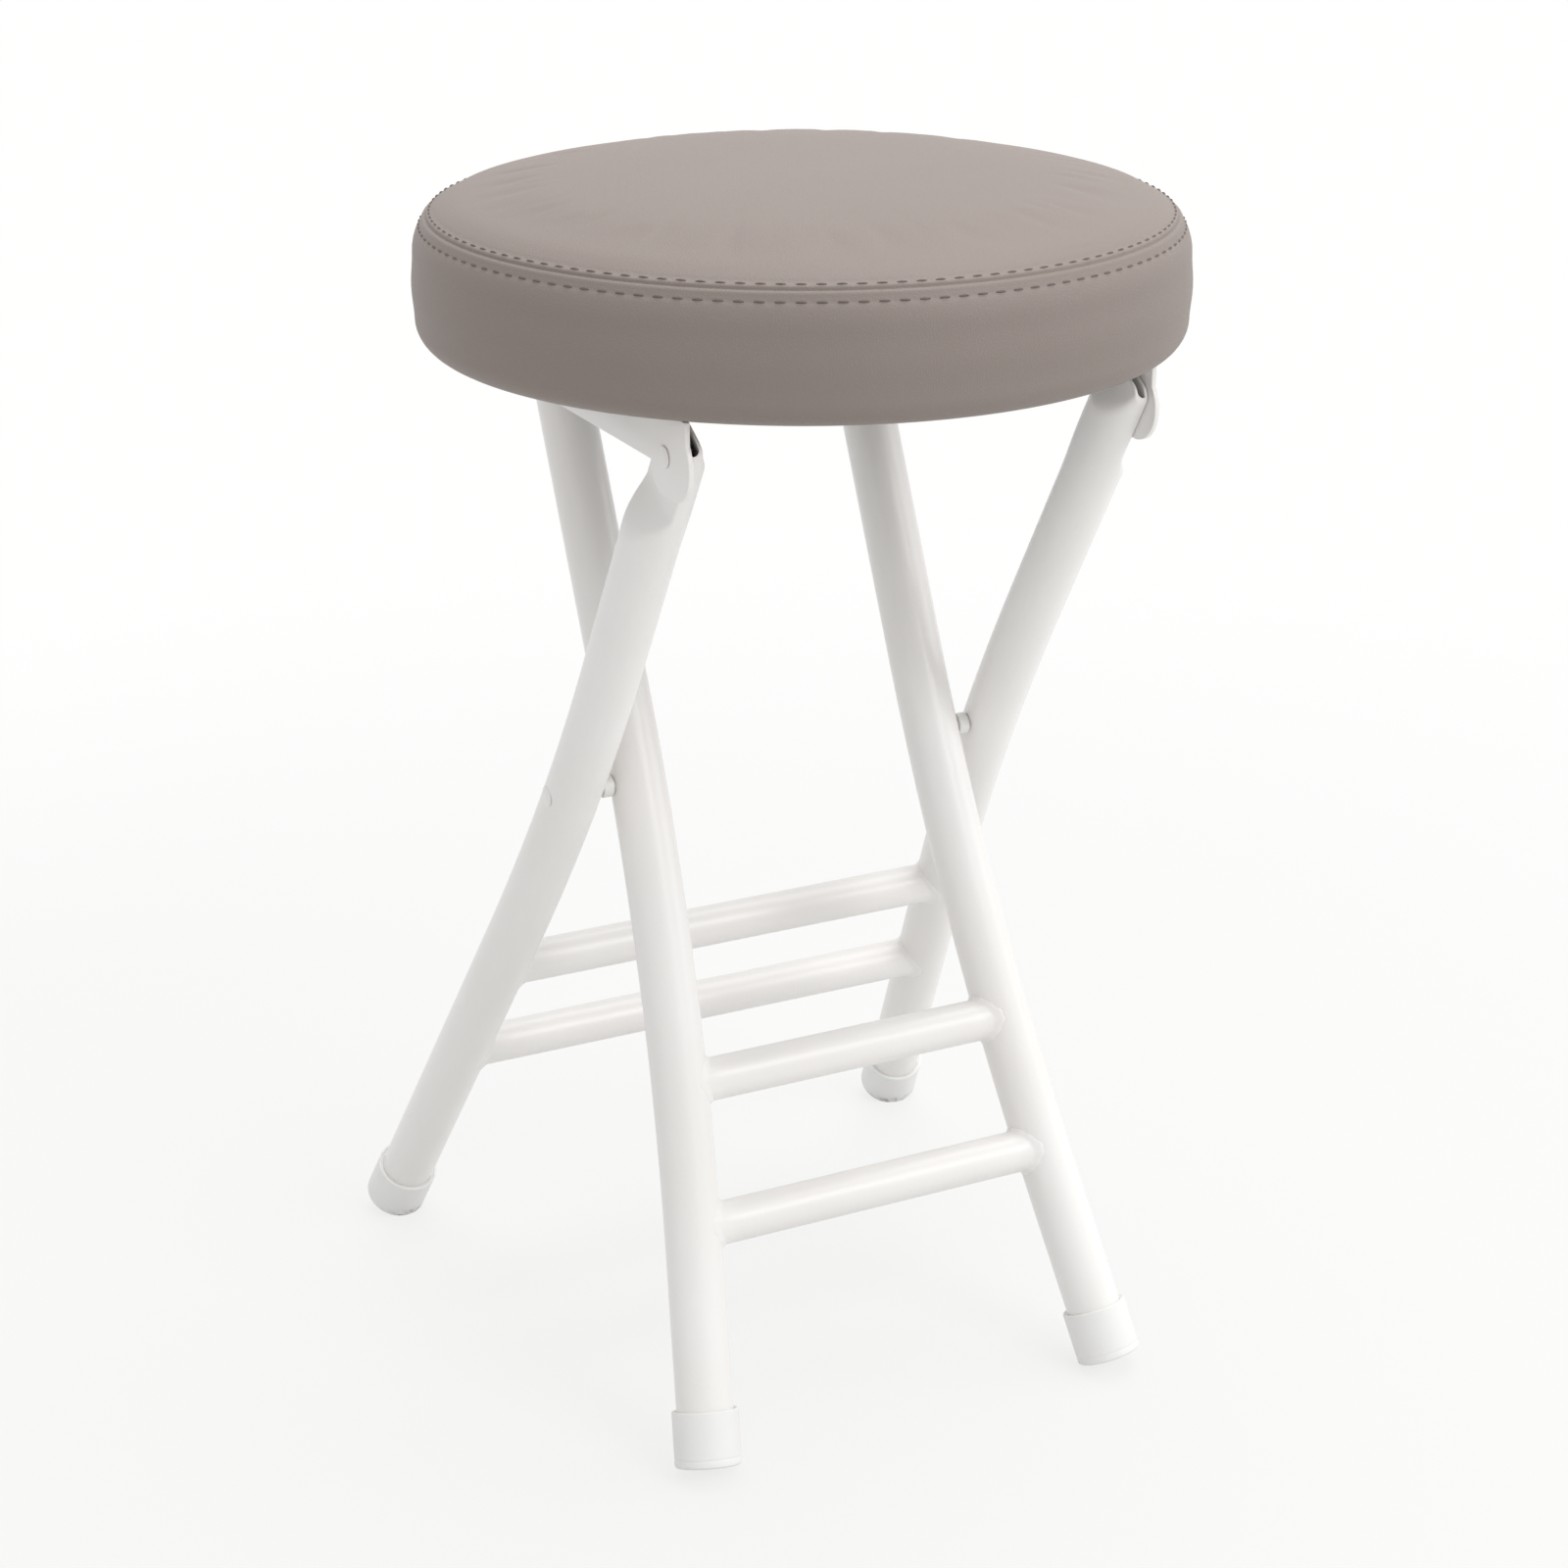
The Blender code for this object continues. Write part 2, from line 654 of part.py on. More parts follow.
def rivet(name, length, tail, start, end):
    """Rivet with a low head at its far end; tail is the radius and height of the near one."""
    head = RIVET_HEAD_RADIUS
    low = RIVET_HEAD_HEIGHT
    shank = RIVET_RADIUS
    profile = [(0, length + low), (head * RIVET_CROWN, length + low),
               (head, length + low * RIVET_RIM), (head, length), (shank, length), (shank, 0),
               (tail[0], 0), (tail[0], -tail[1] * RIVET_RIM),
               (tail[0] * RIVET_CROWN, -tail[1]), (0, -tail[1])]
    return turned(name, profile, RIVET_STEPS, "white_powder_coat", along(start, end))


def ring(name, bore, outer, start, end, finish):
    """Plain ring between two points on its axis."""
    length = (Vector(end) - Vector(start)).length
    profile = [(outer, length), (outer, 0), (bore, 0), (bore, length)]
    return turned(name, profile, RIVET_STEPS, finish, along(start, end))


def make_crossing(word, side):
    """Blind rivet and spacer where an inner leg crosses an outer leg."""
    bore = TUBE_RADIUS - TUBE_WALL
    tail = (RIVET_TAIL_RADIUS, RIVET_TAIL_HEIGHT)
    room = GAP + tail[0] * INNER_CROSSING_SLOPE
    start = INNER_AT_CROSSING + math.sqrt(bore ** 2 - tail[0] ** 2) - room
    end = OUTER_AT_CROSSING + TUBE_RADIUS + GAP + RIVET_HEAD_RADIUS * OUTER_CROSSING_SLOPE
    level = (CROSSING_Y, CROSSING_HEIGHT)
    rivet(f"crossing_rivet_{word}", end - start, tail,
          (start * side, *level), (end * side, *level))
    hole = RIVET_RADIUS + GAP
    rim = hole + SPACER_WALL
    inner_face = INNER_AT_CROSSING + TUBE_RADIUS + GAP + rim * INNER_CROSSING_SLOPE
    outer_face = OUTER_AT_CROSSING - TUBE_RADIUS - GAP - rim * OUTER_CROSSING_SLOPE
    ring(f"crossing_spacer_{word}", hole, rim,
         (inner_face * side, *level), (outer_face * side, *level), "white_nylon")


def crossing_hole(word, side):
    """Hole for the crossing rivet through both legs of a side."""
    start = INNER_AT_CROSSING
    end = OUTER_AT_CROSSING + 2 * TUBE_RADIUS
    level = (CROSSING_Y, CROSSING_HEIGHT)
    return cylinder_cutter(f"crossing_hole_{word}", RIVET_RADIUS + GAP,
                           (start * side, *level), (end * side, *level))


def pivot_hole(word, side):
    """Hole for the seat pivot through the flat of a pressed leg and its rail."""
    start = PRESSED_FACE_X - TUBE_WALL - GAP - RIVET_TAIL_HEIGHT
    end = RAIL_OUTER_X + RAIL_SHEET
    level = (PIVOT_Y, PIVOT_HEIGHT)
    return cylinder_cutter(f"pivot_hole_{word}", RIVET_RADIUS + GAP,
                           (start * side, *level), (end * side, *level))


def make_seat_pivot(word, side):
    """Blind rivet that hinges a rail to the pressed top of an outer leg."""
    level = (PIVOT_Y, PIVOT_HEIGHT)
    start = PRESSED_FACE_X - TUBE_WALL - GAP
    end = RAIL_OUTER_X + GAP
    tail = (RIVET_TAIL_RADIUS, RIVET_TAIL_HEIGHT)
    rivet(f"seat_pivot_rivet_{word}", end - start, tail,
          (start * side, *level), (end * side, *level))


def rail_outline():
    """Side of a rail round the pivot at (0, 0): straight edges and a rounded front ear."""
    top = RAIL_TOP - PIVOT_HEIGHT
    lower = top - RAIL_DEPTH
    ear = (-EAR_AHEAD, -EAR_LOWERED)
    meet = math.acos((EAR_AHEAD - RAIL_FRONT) / EAR_RADIUS)
    bottom = -EAR_LOWERED - EAR_RADIUS
    rear_centre = (EAR_REAR_OFFSET, bottom + EAR_REAR_RADIUS)
    rear_end = math.asin(min(max((lower - rear_centre[1]) / EAR_REAR_RADIUS, -1), 1))
    relief = (RAIL_FLANGE_START - RAIL_RELIEF, top - RAIL_SHEET - RAIL_RELIEF)
    points = [(RAIL_REAR, top), (RAIL_FLANGE_START, top), (RAIL_FLANGE_START, relief[1]),
              relief, (relief[0], top), (-RAIL_FRONT, top)]
    points += arc(ear, EAR_RADIUS, meet, 1.5 * math.pi, EAR_ARC_POINTS)
    points += arc(rear_centre, EAR_REAR_RADIUS, -math.pi / 2, rear_end, EAR_ARC_POINTS)
    corner = (RAIL_REAR - RAIL_REAR_CORNER, lower + RAIL_REAR_CORNER)
    points += arc(corner, RAIL_REAR_CORNER, -math.pi / 2, 0, EAR_ARC_POINTS)
    return points


def rail_mesh(name, side):
    """Outer skin of a rail: its side, and a flange folded inwards from the top edge."""
    shape = bmesh.new()
    corners = [shape.verts.new((0, across, up)) for across, up in rail_outline()]
    rim = [shape.edges.new(pair) for pair in zip(corners, corners[1:] + corners[:1])]
    plate = bmesh.ops.edgeloop_fill(shape, edges=rim)["faces"][0]
    plate.normal_update()
    if plate.normal.x * side < 0:
        plate.normal_flip()
    fold = shape.edges.get((corners[0], corners[1]))
    folded = bmesh.ops.extrude_edge_only(shape, edges=[fold])["geom"]
    edge = [item for item in folded if isinstance(item, bmesh.types.BMVert)]
    width = RAIL_FLANGE_WIDTH
    bmesh.ops.translate(shape, verts=edge, vec=(-side * width, 0, 0))
    mesh = bpy.data.meshes.new(name)
    shape.to_mesh(mesh)
    shape.free()
    return mesh


def make_rail(word, side, hole):
    """Pressed steel side rail with a flange that is screwed up under the seat board."""
    name = f"seat_rail_{word}"
    place = Matrix.Translation((side * RAIL_OUTER_X, PIVOT_Y, PIVOT_HEIGHT))
    rail = add_part(name, rail_mesh(name, side), "white_powder_coat", place)
    sheet = rail.modifiers.new("sheet", "SOLIDIFY")
    sheet.thickness = RAIL_SHEET
    sheet.offset = -1
    sheet.use_even_offset = True
    boolean(rail, hole)
    for place in RAIL_SCREW_POSITIONS:
        boolean(rail, bpy.data.objects[f"rail_screw_hole_{word}_{place}"])
    return rail


def rail_screw_hole(word, side, place, behind):
    """Clearance hole for a rail screw through the flange, the lining and the board."""
    centre = (side * RAIL_SCREW_X, PIVOT_Y + behind)
    return cylinder_cutter(f"rail_screw_hole_{word}_{place}", RAIL_SCREW_RADIUS + GAP,
                           (*centre, RAIL_TOP - 3 * RAIL_SHEET),
                           (*centre, BOARD_BOTTOM - GAP / 2))


def make_rail_screw(word, side, place, behind, board):
    """Pan-head screw up through a rail flange into a tee nut in the board."""
    centre = (side * RAIL_SCREW_X, PIVOT_Y + behind)
    seat = RAIL_TOP - RAIL_SHEET - GAP
    head = RAIL_SCREW_HEAD
    low = RAIL_SCREW_HEAD_HEIGHT
    tip = BOARD_TOP - TEE_NUT_SHEET
    profile = [(0, tip), (RAIL_SCREW_RADIUS, tip), (RAIL_SCREW_RADIUS, seat), (head, seat),
               (head, seat - low * SCREW_HEAD_RIM), (head * SCREW_HEAD_CROWN, seat - low),
               (0, seat - low)]
    turned(f"rail_screw_{word}_{place}", profile, SCREW_STEPS, "zinc_steel",
           Matrix.Translation((*centre, 0)))
    bore = RAIL_SCREW_RADIUS + GAP
    barrel = bore + TEE_NUT_WALL
    flange_low = BOARD_TOP - TEE_NUT_SHEET
    barrel_low = BOARD_BOTTOM + GAP
    profile = [(TEE_NUT_FLANGE, BOARD_TOP), (TEE_NUT_FLANGE, flange_low), (barrel, flange_low),
               (barrel, barrel_low), (bore, barrel_low), (bore, BOARD_TOP)]
    turned(f"tee_nut_{word}_{place}", profile, SCREW_STEPS, "zinc_steel",
           Matrix.Translation((*centre, 0)))
    through = cylinder_cutter(f"tee_nut_hole_{word}_{place}", barrel + GAP,
                              (*centre, BOARD_BOTTOM - BOARD_THICKNESS),
                              (*centre, BOARD_TOP + BOARD_THICKNESS))
    recess = cylinder_cutter(f"tee_nut_recess_{word}_{place}", TEE_NUT_FLANGE + GAP,
                             (*centre, flange_low - GAP),
                             (*centre, BOARD_TOP + BOARD_THICKNESS))
    boolean(board, through)
    boolean(board, recess)


def hook_outline():
    """Side of a crossbar hook round the crossbar's centre: a foot and a wrapped arm."""
    inner = TUBE_RADIUS + GAP
    outer = inner + HOOK_SHEET
    foot = outer - HOOK_FOOT_SHEET
    shoulder = math.acos(foot / outer)
    up = math.pi / 2
    tip = foot + HOOK_FOOT_DRAFT
    points = [(-HOOK_FOOT, outer), (-HOOK_FOOT, tip)]
    points += arc((0, 0), outer, up + shoulder, up + HOOK_FRONT_WRAP, EDGE_ARC_POINTS)
    points += arc((0, 0), inner, up + HOOK_FRONT_WRAP, up - HOOK_REAR_WRAP,
                  2 * HOOK_ARC_POINTS)
    points += arc((0, 0), outer, up - HOOK_REAR_WRAP, up - shoulder, HOOK_ARC_POINTS)
    points += [(HOOK_FOOT, tip), (HOOK_FOOT, outer)]
    return points


def make_hook(word, side, board, underside):
    """Nylon hook under the board that the inner frame's crossbar lies in."""
    name = f"crossbar_hook_{word}"
    centre = (side * HOOK_OFFSET, CROSSBAR_Y, CROSSBAR_HEIGHT)
    hook = sheet_outline(name, hook_outline(), HOOK_WIDTH, "white_nylon", centre)
    for place, offset in {"front": -HOOK_SCREW_OFFSET, "rear": HOOK_SCREW_OFFSET}.items():
        spot = (side * HOOK_OFFSET, CROSSBAR_Y + offset)
        seat = RAIL_TOP - HOOK_FOOT_SHEET - GAP
        tip = BOARD_BOTTOM + HOOK_SCREW_BITE
        shank = HOOK_SCREW_RADIUS
        head = HOOK_SCREW_HEAD
        low = HOOK_SCREW_HEAD_HEIGHT
        profile = [(0, tip), (shank / 2, tip), (shank, tip - HOOK_SCREW_POINT),
                   (shank, seat), (head, seat), (head, seat - low * SCREW_HEAD_RIM),
                   (head * SCREW_HEAD_CROWN, seat - low), (0, seat - low)]
        turned(f"hook_screw_{word}_{place}", profile, SCREW_STEPS, "zinc_steel",
               Matrix.Translation((*spot, 0)))
        hole = cylinder_cutter(f"hook_screw_hole_{word}_{place}", shank + GAP,
                               (*spot, seat - low), (*spot, tip + GAP))
        for part in (hook, board, *underside):
            boolean(part, hole)


def shoulder_point(angle, inset):
    """Point on the cushion's shoulder at an angle above level, inset from its face."""
    return (SEAT_RADIUS - SHOULDER_RADIUS + (SHOULDER_RADIUS - inset) * math.cos(angle),
            SEAT_RIM - SHOULDER_HEIGHT + (SHOULDER_HEIGHT - inset) * math.sin(angle))


def crown_points(inset):
    """Domed top of the cushion from its middle to the shoulder, inset from its face."""
    edge = shoulder_point(SHOULDER_TOP_ANGLE, inset)
    top = SEAT_RIM + SEAT_CROWN - inset
    points = []
    for step in range(CROWN_RINGS):
        share = math.sin(math.pi / 2 * step / CROWN_RINGS)
        points.append((edge[0] * share, top - (top - edge[1]) * share ** CROWN_POWER))
    return points + [edge]


def side_points(inset):
    """Side of the cushion from the shoulder's foot round the lower edge to the hem."""
    high = SEAT_RIM - SHOULDER_HEIGHT
    edge = LOWER_EDGE_RADIUS
    low = SEAT_UNDERSIDE + edge
    points = []
    for step in range(SIDE_RINGS):
        share = step / SIDE_RINGS
        bulge = SIDE_BULGE * math.sin(math.pi * share)
        points.append((SEAT_RADIUS - SIDE_BULGE - inset + bulge, high + (low - high) * share))
    points[0] = shoulder_point(0, inset)
    centre = (SEAT_RADIUS - SIDE_BULGE - edge, low)
    points += arc(centre, edge - inset, 0, -math.pi / 2, EDGE_ARC_POINTS)
    return points


def shoulder_arc(start, end, inset, count):
    """Points down the shoulder from one angle to another."""
    return [shoulder_point(start + (end - start) * step / (count - 1), inset)
            for step in range(count)]


def turned_shell(name, profile, finish, place):
    """Thin turned skin: an open profile, turned and thickened inwards."""
    mesh = bpy.data.meshes.new(name)
    edges = [(i, i + 1) for i in range(len(profile) - 1)]
    mesh.from_pydata([(radius, 0, height) for radius, height in profile], edges, [])
    part = add_part(name, mesh, finish, place)
    add_screw(part, CUSHION_STEPS)
    sheet = part.modifiers.new("sheet", "SOLIDIFY")
    sheet.thickness = COVER_SHEET
    sheet.offset = -1
    sheet.use_even_offset = True
    return part


def make_cushion():
    """Cover in two panels, foam, board and lining, all turned on the seat's axis."""
    place = Matrix.Translation((0, SEAT_Y, 0))
    seam_gap = GAP / SHOULDER_RADIUS
    top = crown_points(0)
    top += shoulder_arc(SHOULDER_TOP_ANGLE, SEAM_ANGLE + seam_gap, 0, SHOULDER_RINGS)[1:]
    turned_shell("seat_cover_top", top, "taupe_leathercloth", place)

    side = shoulder_arc(SEAM_ANGLE - seam_gap, 0, 0, SHOULDER_RINGS)[:-1] + side_points(0)
    side.append((HEM_RADIUS, SEAT_UNDERSIDE))
    cover_side = turned_shell("seat_cover_side", side, "taupe_leathercloth", place)

    inset = COVER_SHEET + GAP
    foam_low = BOARD_TOP + GAP
    foam = crown_points(inset)
    foam += shoulder_arc(SHOULDER_TOP_ANGLE, 0, inset, 2 * SHOULDER_RINGS - 2)[1:]
    foam += [(SEAT_RADIUS - SIDE_BULGE - inset, foam_low), (0, foam_low)]
    turned("seat_foam", foam, CUSHION_STEPS, "foam", place)

    edge = LOWER_EDGE_RADIUS - inset
    board_radius = SEAT_RADIUS - SIDE_BULGE - inset
    board = [(0, BOARD_TOP), (board_radius, BOARD_TOP)]
    board += arc((board_radius - edge, BOARD_BOTTOM + edge), edge, 0, -math.pi / 2,
                 EDGE_ARC_POINTS)
    board.append((0, BOARD_BOTTOM))
    board_part = turned("seat_board", board, CUSHION_STEPS, "plywood", place)

    lining_high = SEAT_UNDERSIDE + LINING_SHEET
    lining_radius = HEM_RADIUS - GAP
    lining = [(0, lining_high), (lining_radius, lining_high),
              (lining_radius, SEAT_UNDERSIDE), (0, SEAT_UNDERSIDE)]
    lining_part = turned("seat_lining", lining, CUSHION_STEPS, "grey_felt", place)
    return board_part, (cover_side, lining_part)


def make_hinge(name, place):
    """Empty on a hinge's axis that its moving pieces hang from."""
    hinge = bpy.data.objects.new(name, None)
    hinge.location = place
    PARTS.objects.link(hinge)
    return hinge


def hang(hinge, prefixes):
    """Parent every piece whose name starts with one of the words to a hinge."""
    bpy.context.view_layer.update()
    for part in list(PARTS.objects):
        if part.type == "MESH" and part.name.startswith(prefixes):
            part.parent = hinge
            part.matrix_parent_inverse = hinge.matrix_world.inverted()


def make_stool():
    """Model every piece of the stool."""
    crossing_holes = {word: crossing_hole(word, side) for word, side in SIDES.items()}
    pivot_holes = {word: pivot_hole(word, side) for word, side in SIDES.items()}
    floor = floor_box()

    make_outer_legs(pivot_holes, crossing_holes)
    make_rungs("outer", OUTER_RUNG_HEIGHTS, outer_leg_x, outer_y, OUTER_TILT)
    make_caps("outer", outer_leg_x, outer_y, OUTER_TILT, 1, floor)

    make_inner_frame(crossing_holes)
    make_rungs("inner", INNER_RUNG_HEIGHTS, inner_leg_x, inner_y, -INNER_TILT)
    make_caps("inner", inner_leg_x, inner_y, INNER_TILT, -1, floor)

    board, underside = make_cushion()
    for word, side in SIDES.items():
        make_crossing(word, side)
        make_seat_pivot(word, side)
        for place, behind in RAIL_SCREW_POSITIONS.items():
            hole = rail_screw_hole(word, side, place, behind)
            for part in underside:
                boolean(part, hole)
            make_rail_screw(word, side, place, behind, board)
        make_rail(word, side, pivot_holes[word])
        make_hook(word, side, board, underside)

    hang(make_hinge("seat_hinge", (0, PIVOT_Y, PIVOT_HEIGHT)),
         ("seat_", "rail_screw", "tee_nut", "crossbar_hook", "hook_screw"))
    hang(make_hinge("crossing_hinge", (0, CROSSING_Y, CROSSING_HEIGHT)), ("inner_",))


make_stool()
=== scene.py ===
"""Looks of a folding stool: a round padded seat on two crossed frames of white steel tube.

Metres, +Z up, X across the stool and the seat's hinge towards -Y. The sections follow the
stool as it is put together: outer frame, inner frame, crossing, seat, hardware under it.
"""
import json
import math

import bmesh
import bpy
import numpy as np
from mathutils import Matrix, Vector


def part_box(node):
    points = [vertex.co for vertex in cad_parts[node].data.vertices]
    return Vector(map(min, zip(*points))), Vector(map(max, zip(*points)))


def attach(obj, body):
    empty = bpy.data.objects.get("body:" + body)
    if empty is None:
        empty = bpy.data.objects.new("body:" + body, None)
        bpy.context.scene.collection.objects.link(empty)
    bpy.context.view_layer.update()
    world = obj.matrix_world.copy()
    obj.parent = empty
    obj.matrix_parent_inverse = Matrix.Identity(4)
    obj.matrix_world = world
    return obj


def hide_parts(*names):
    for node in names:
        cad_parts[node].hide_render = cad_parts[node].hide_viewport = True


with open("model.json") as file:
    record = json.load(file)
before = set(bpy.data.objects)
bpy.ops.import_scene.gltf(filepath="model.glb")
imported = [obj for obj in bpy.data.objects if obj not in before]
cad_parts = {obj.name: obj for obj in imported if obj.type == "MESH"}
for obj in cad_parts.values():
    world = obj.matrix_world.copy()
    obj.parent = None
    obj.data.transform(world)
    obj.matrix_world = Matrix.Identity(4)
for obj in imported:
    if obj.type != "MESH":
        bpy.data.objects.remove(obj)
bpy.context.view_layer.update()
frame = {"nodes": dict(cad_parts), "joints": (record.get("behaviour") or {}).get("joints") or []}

# Camera: a little above the seat and to the left of its hinged side, far enough away that
# the legs hardly converge. Lens and place are for a square picture of 1600 x 1600.
PICTURE_SIZE = 1600
FOCAL_PIXELS = 3216.8
SENSOR_WIDTH = 36.0
CAMERA_TURN = math.radians(-26.3302)
CAMERA_LIFT = math.radians(21.4294)
CAMERA_AIM = Vector((0.00026, 0.0051882, 0.235741))
CAMERA_DISTANCE = 1.264226
CAMERA_LOWERED = 0.0057565

camera_data = bpy.data.cameras.new("camera")
camera_data.sensor_width = SENSOR_WIDTH
camera_data.lens = SENSOR_WIDTH * FOCAL_PIXELS / PICTURE_SIZE
camera = bpy.data.objects.new("camera", camera_data)
bpy.context.scene.collection.objects.link(camera)
camera_back = Vector((math.sin(CAMERA_TURN) * math.cos(CAMERA_LIFT),
                      -math.cos(CAMERA_TURN) * math.cos(CAMERA_LIFT), math.sin(CAMERA_LIFT)))
camera_right = Vector((math.cos(CAMERA_TURN), math.sin(CAMERA_TURN), 0))
camera_up = camera_back.cross(camera_right)
camera_place = CAMERA_AIM + camera_back * CAMERA_DISTANCE - camera_up * CAMERA_LOWERED
camera.matrix_world = Matrix.Translation(camera_place) @ Matrix(
    (camera_right, camera_up, camera_back)).transposed().to_4x4()
bpy.context.scene.camera = camera

# Outer legs: two 22 mm steel tubes under a white powder coat. Their tops are pressed flat
# on the outside for the seat rails, squeezed on the inside and cut off with round corners;
# below the crossing they are bent outwards.
SIDES = {"left": -1, "right": 1}
TUBE_RADIUS = 0.0111
TUBE_WALL = 0.0012
TUBE_SIDES = 72
OUTER_TILT = math.radians(31.0)
INNER_TILT = math.radians(25.5)
SPLAY_SLOPE = 0.1494
OUTER_SPLAY = (0.3072, 0.1632)
INNER_SPLAY = (0.2755, 0.0739)
INNER_HALF_WIDTH = 0.0649
CROSSING_SPACE = 0.0053
FOOT_HEIGHTS = {"outer": 0.0059, "inner": 0.0049}
TUBE_END_IN_CAP = 0.0034

PRESSED_FLAT = 0.00105
PRESSED_HALF_WIDTH = 0.0124
PRESS_START = -0.0202
PRESS_RUN_OUT = 0.021
LEG_END_LENGTH = 0.0132
LEG_END_CORNER = 0.006
LEG_END_DEPTH = 0.004
LEG_END_RIM = 0.0004
SQUEEZED_LENGTH = 0.0177
SQUEEZE_POWER = 1.5
PRESS_EDGE = 0.0028

crossing = Vector(next(j["pos_m"] for j in frame["joints"] if j["name"] == "leg_fold"))
pivot = Vector(next(j["pos_m"] for j in frame["joints"] if j["name"] == "seat_tilt"))


def splay(height, bend):
    """Half width that a leg gains on its way down: the slope times the square of the way
    below the bend's start over twice its length, and straight on below its end."""
    start, full = bend
    depth = np.clip(start - height, 0, start - full)
    return SPLAY_SLOPE * (depth ** 2 / (2 * (start - full)) + np.clip(full - height, 0, None))


def splay_slope(height, bend):
    """Sideways slope of a leg: a ramp from none at the bend's start to full at its end."""
    start, full = bend
    return SPLAY_SLOPE * np.clip((start - height) / (start - full), 0, 1)


inner_at_crossing = INNER_HALF_WIDTH + splay(crossing.z, INNER_SPLAY)
outer_at_crossing = inner_at_crossing + 2 * TUBE_RADIUS + CROSSING_SPACE
OUTER_HALF_WIDTH = outer_at_crossing - splay(crossing.z, OUTER_SPLAY)


def outer_line(height):
    """Middle of the right outer leg: a line that leans by the tilt, plus the splay."""
    across = OUTER_HALF_WIDTH + splay(height, OUTER_SPLAY)
    return np.stack([across, crossing.y + (crossing.z - height) * math.tan(OUTER_TILT),
                     height], -1)


def inner_line(height):
    """Middle of the right inner leg, which leans the other way."""
    across = INNER_HALF_WIDTH + splay(height, INNER_SPLAY)
    return np.stack([across, crossing.y - (crossing.z - height) * math.tan(INNER_TILT),
                     height], -1)


def unit(vectors):
    """Vectors divided by their lengths."""
    return vectors / np.linalg.norm(vectors, axis=-1, keepdims=True)


def soft_less(value, limit, width):
    """The lesser of two values, with the corner between them rounded over a width."""
    blend = np.clip(0.5 + 0.5 * (limit - value) / width, 0, 1)
    return limit + (value - limit) * blend - width * blend * (1 - blend)


def ways_between(stops, steps):
    """Values from stop to stop, each stretch divided into its own number of even steps."""
    return np.concatenate([stops[:1]] + [np.linspace(low, high, count + 1)[1:] for
                                         low, high, count in zip(stops, stops[1:], steps)])


def grid_faces(rows, columns, rows_close, first):
    """Quads between the points of a grid whose columns run all the way round."""
    index = np.arange(rows * columns).reshape(rows, columns) + first
    beside = np.roll(index, -1, axis=1)
    if rows_close:
        below = np.roll(index, -1, axis=0)
        below_beside = np.roll(beside, -1, axis=0)
    else:
        index, below = index[:-1], index[1:]
        beside, below_beside = beside[:-1], beside[1:]
    return np.stack([index, beside, below_beside, below], -1).reshape(-1, 4)


SMOOTH_ANGLE = math.radians(38)
WELD_DISTANCE = 0.0000004


def grid_piece(name, grids, material, rows_close=False):
    """Closed piece of one or more grids of points (rows, columns, 3) joined by quads.

    The columns run round each grid. Where its rows don't close, its first and last rows
    are each a single point, which is welded into a pole."""
    points = np.concatenate([grid.reshape(-1, 3) for grid in grids])
    starts = np.cumsum([0] + [grid.shape[0] * grid.shape[1] for grid in grids])
    faces = np.concatenate([grid_faces(*grid.shape[:2], rows_close, start)
                            for grid, start in zip(grids, starts)])
    mesh = bpy.data.meshes.new(name)
    mesh.vertices.add(len(points))
    mesh.vertices.foreach_set("co", points.astype(np.float32).ravel())
    mesh.loops.add(faces.size)
    mesh.loops.foreach_set("vertex_index", faces.astype(np.int32).ravel())
    mesh.polygons.add(len(faces))
    mesh.polygons.foreach_set("loop_start", np.arange(0, faces.size, 4, dtype=np.int32))
    mesh.update(calc_edges=True)
    return finished(name, mesh, material)


def finished(name, mesh, material):
    """Object of a mesh, its doubles merged, its faces pointing out and shaded smooth."""
    shape = bmesh.new()
    shape.from_mesh(mesh)
    bmesh.ops.remove_doubles(shape, verts=shape.verts, dist=WELD_DISTANCE)
    bmesh.ops.recalc_face_normals(shape, faces=shape.faces)
    shape.to_mesh(mesh)
    shape.free()
    mesh.shade_smooth()
    mesh.set_sharp_from_angle(angle=SMOOTH_ANGLE)
    piece = bpy.data.objects.new(name, mesh)
    bpy.context.scene.collection.objects.link(piece)
    mesh.materials.append(material)
    return piece


def fit(piece, body, slot, *nodes):
    """Let a piece ride on its body and stand for its CAD nodes; the slot is not used."""
    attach(piece, body)
    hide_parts(*nodes)


class Wire:
    """A shader socket; sums, differences and products of wires add Math nodes."""

    def __init__(self, nodes, socket):
        self.nodes = nodes
        self.socket = socket

    def math(self, operation, first, second):
        """Wire of a Math node on two values or wires."""
        return self.nodes.node("ShaderNodeMath", {"operation": operation},
                               {0: first, 1: second})

    def __add__(self, other):
        return self.math("ADD", self, other)

    def __sub__(self, other):
        return self.math("SUBTRACT", self, other)

    def __rsub__(self, other):
        return self.math("SUBTRACT", other, self)

    def __mul__(self, other):
        return self.math("MULTIPLY", self, other)

    __radd__ = __add__
    __rmul__ = __mul__


class Nodes:
    """Nodes of a material or of the world, each added by one method."""

    def __init__(self, tree):
        self.tree = tree

    def node(self, kind, settings, inputs, output=0):
        """Add a node: its settings first, then the value or wire of each input."""
        made = self.tree.nodes.new(kind)
        for name, value in settings.items():
            if name == "stops":
                for index, (position, colour) in enumerate(value):
                    ramp = made.color_ramp.elements
                    stop = ramp[index] if index < 2 else ramp.new(position)
                    stop.position = position
                    stop.color = (*colour, 1.0)
            else:
                setattr(made, name, value)
        for socket, value in inputs.items():
            if isinstance(value, Wire):
                self.tree.links.new(value.socket, made.inputs[socket])
            else:
                made.inputs[socket].default_value = value
        return Wire(self, made.outputs[output])


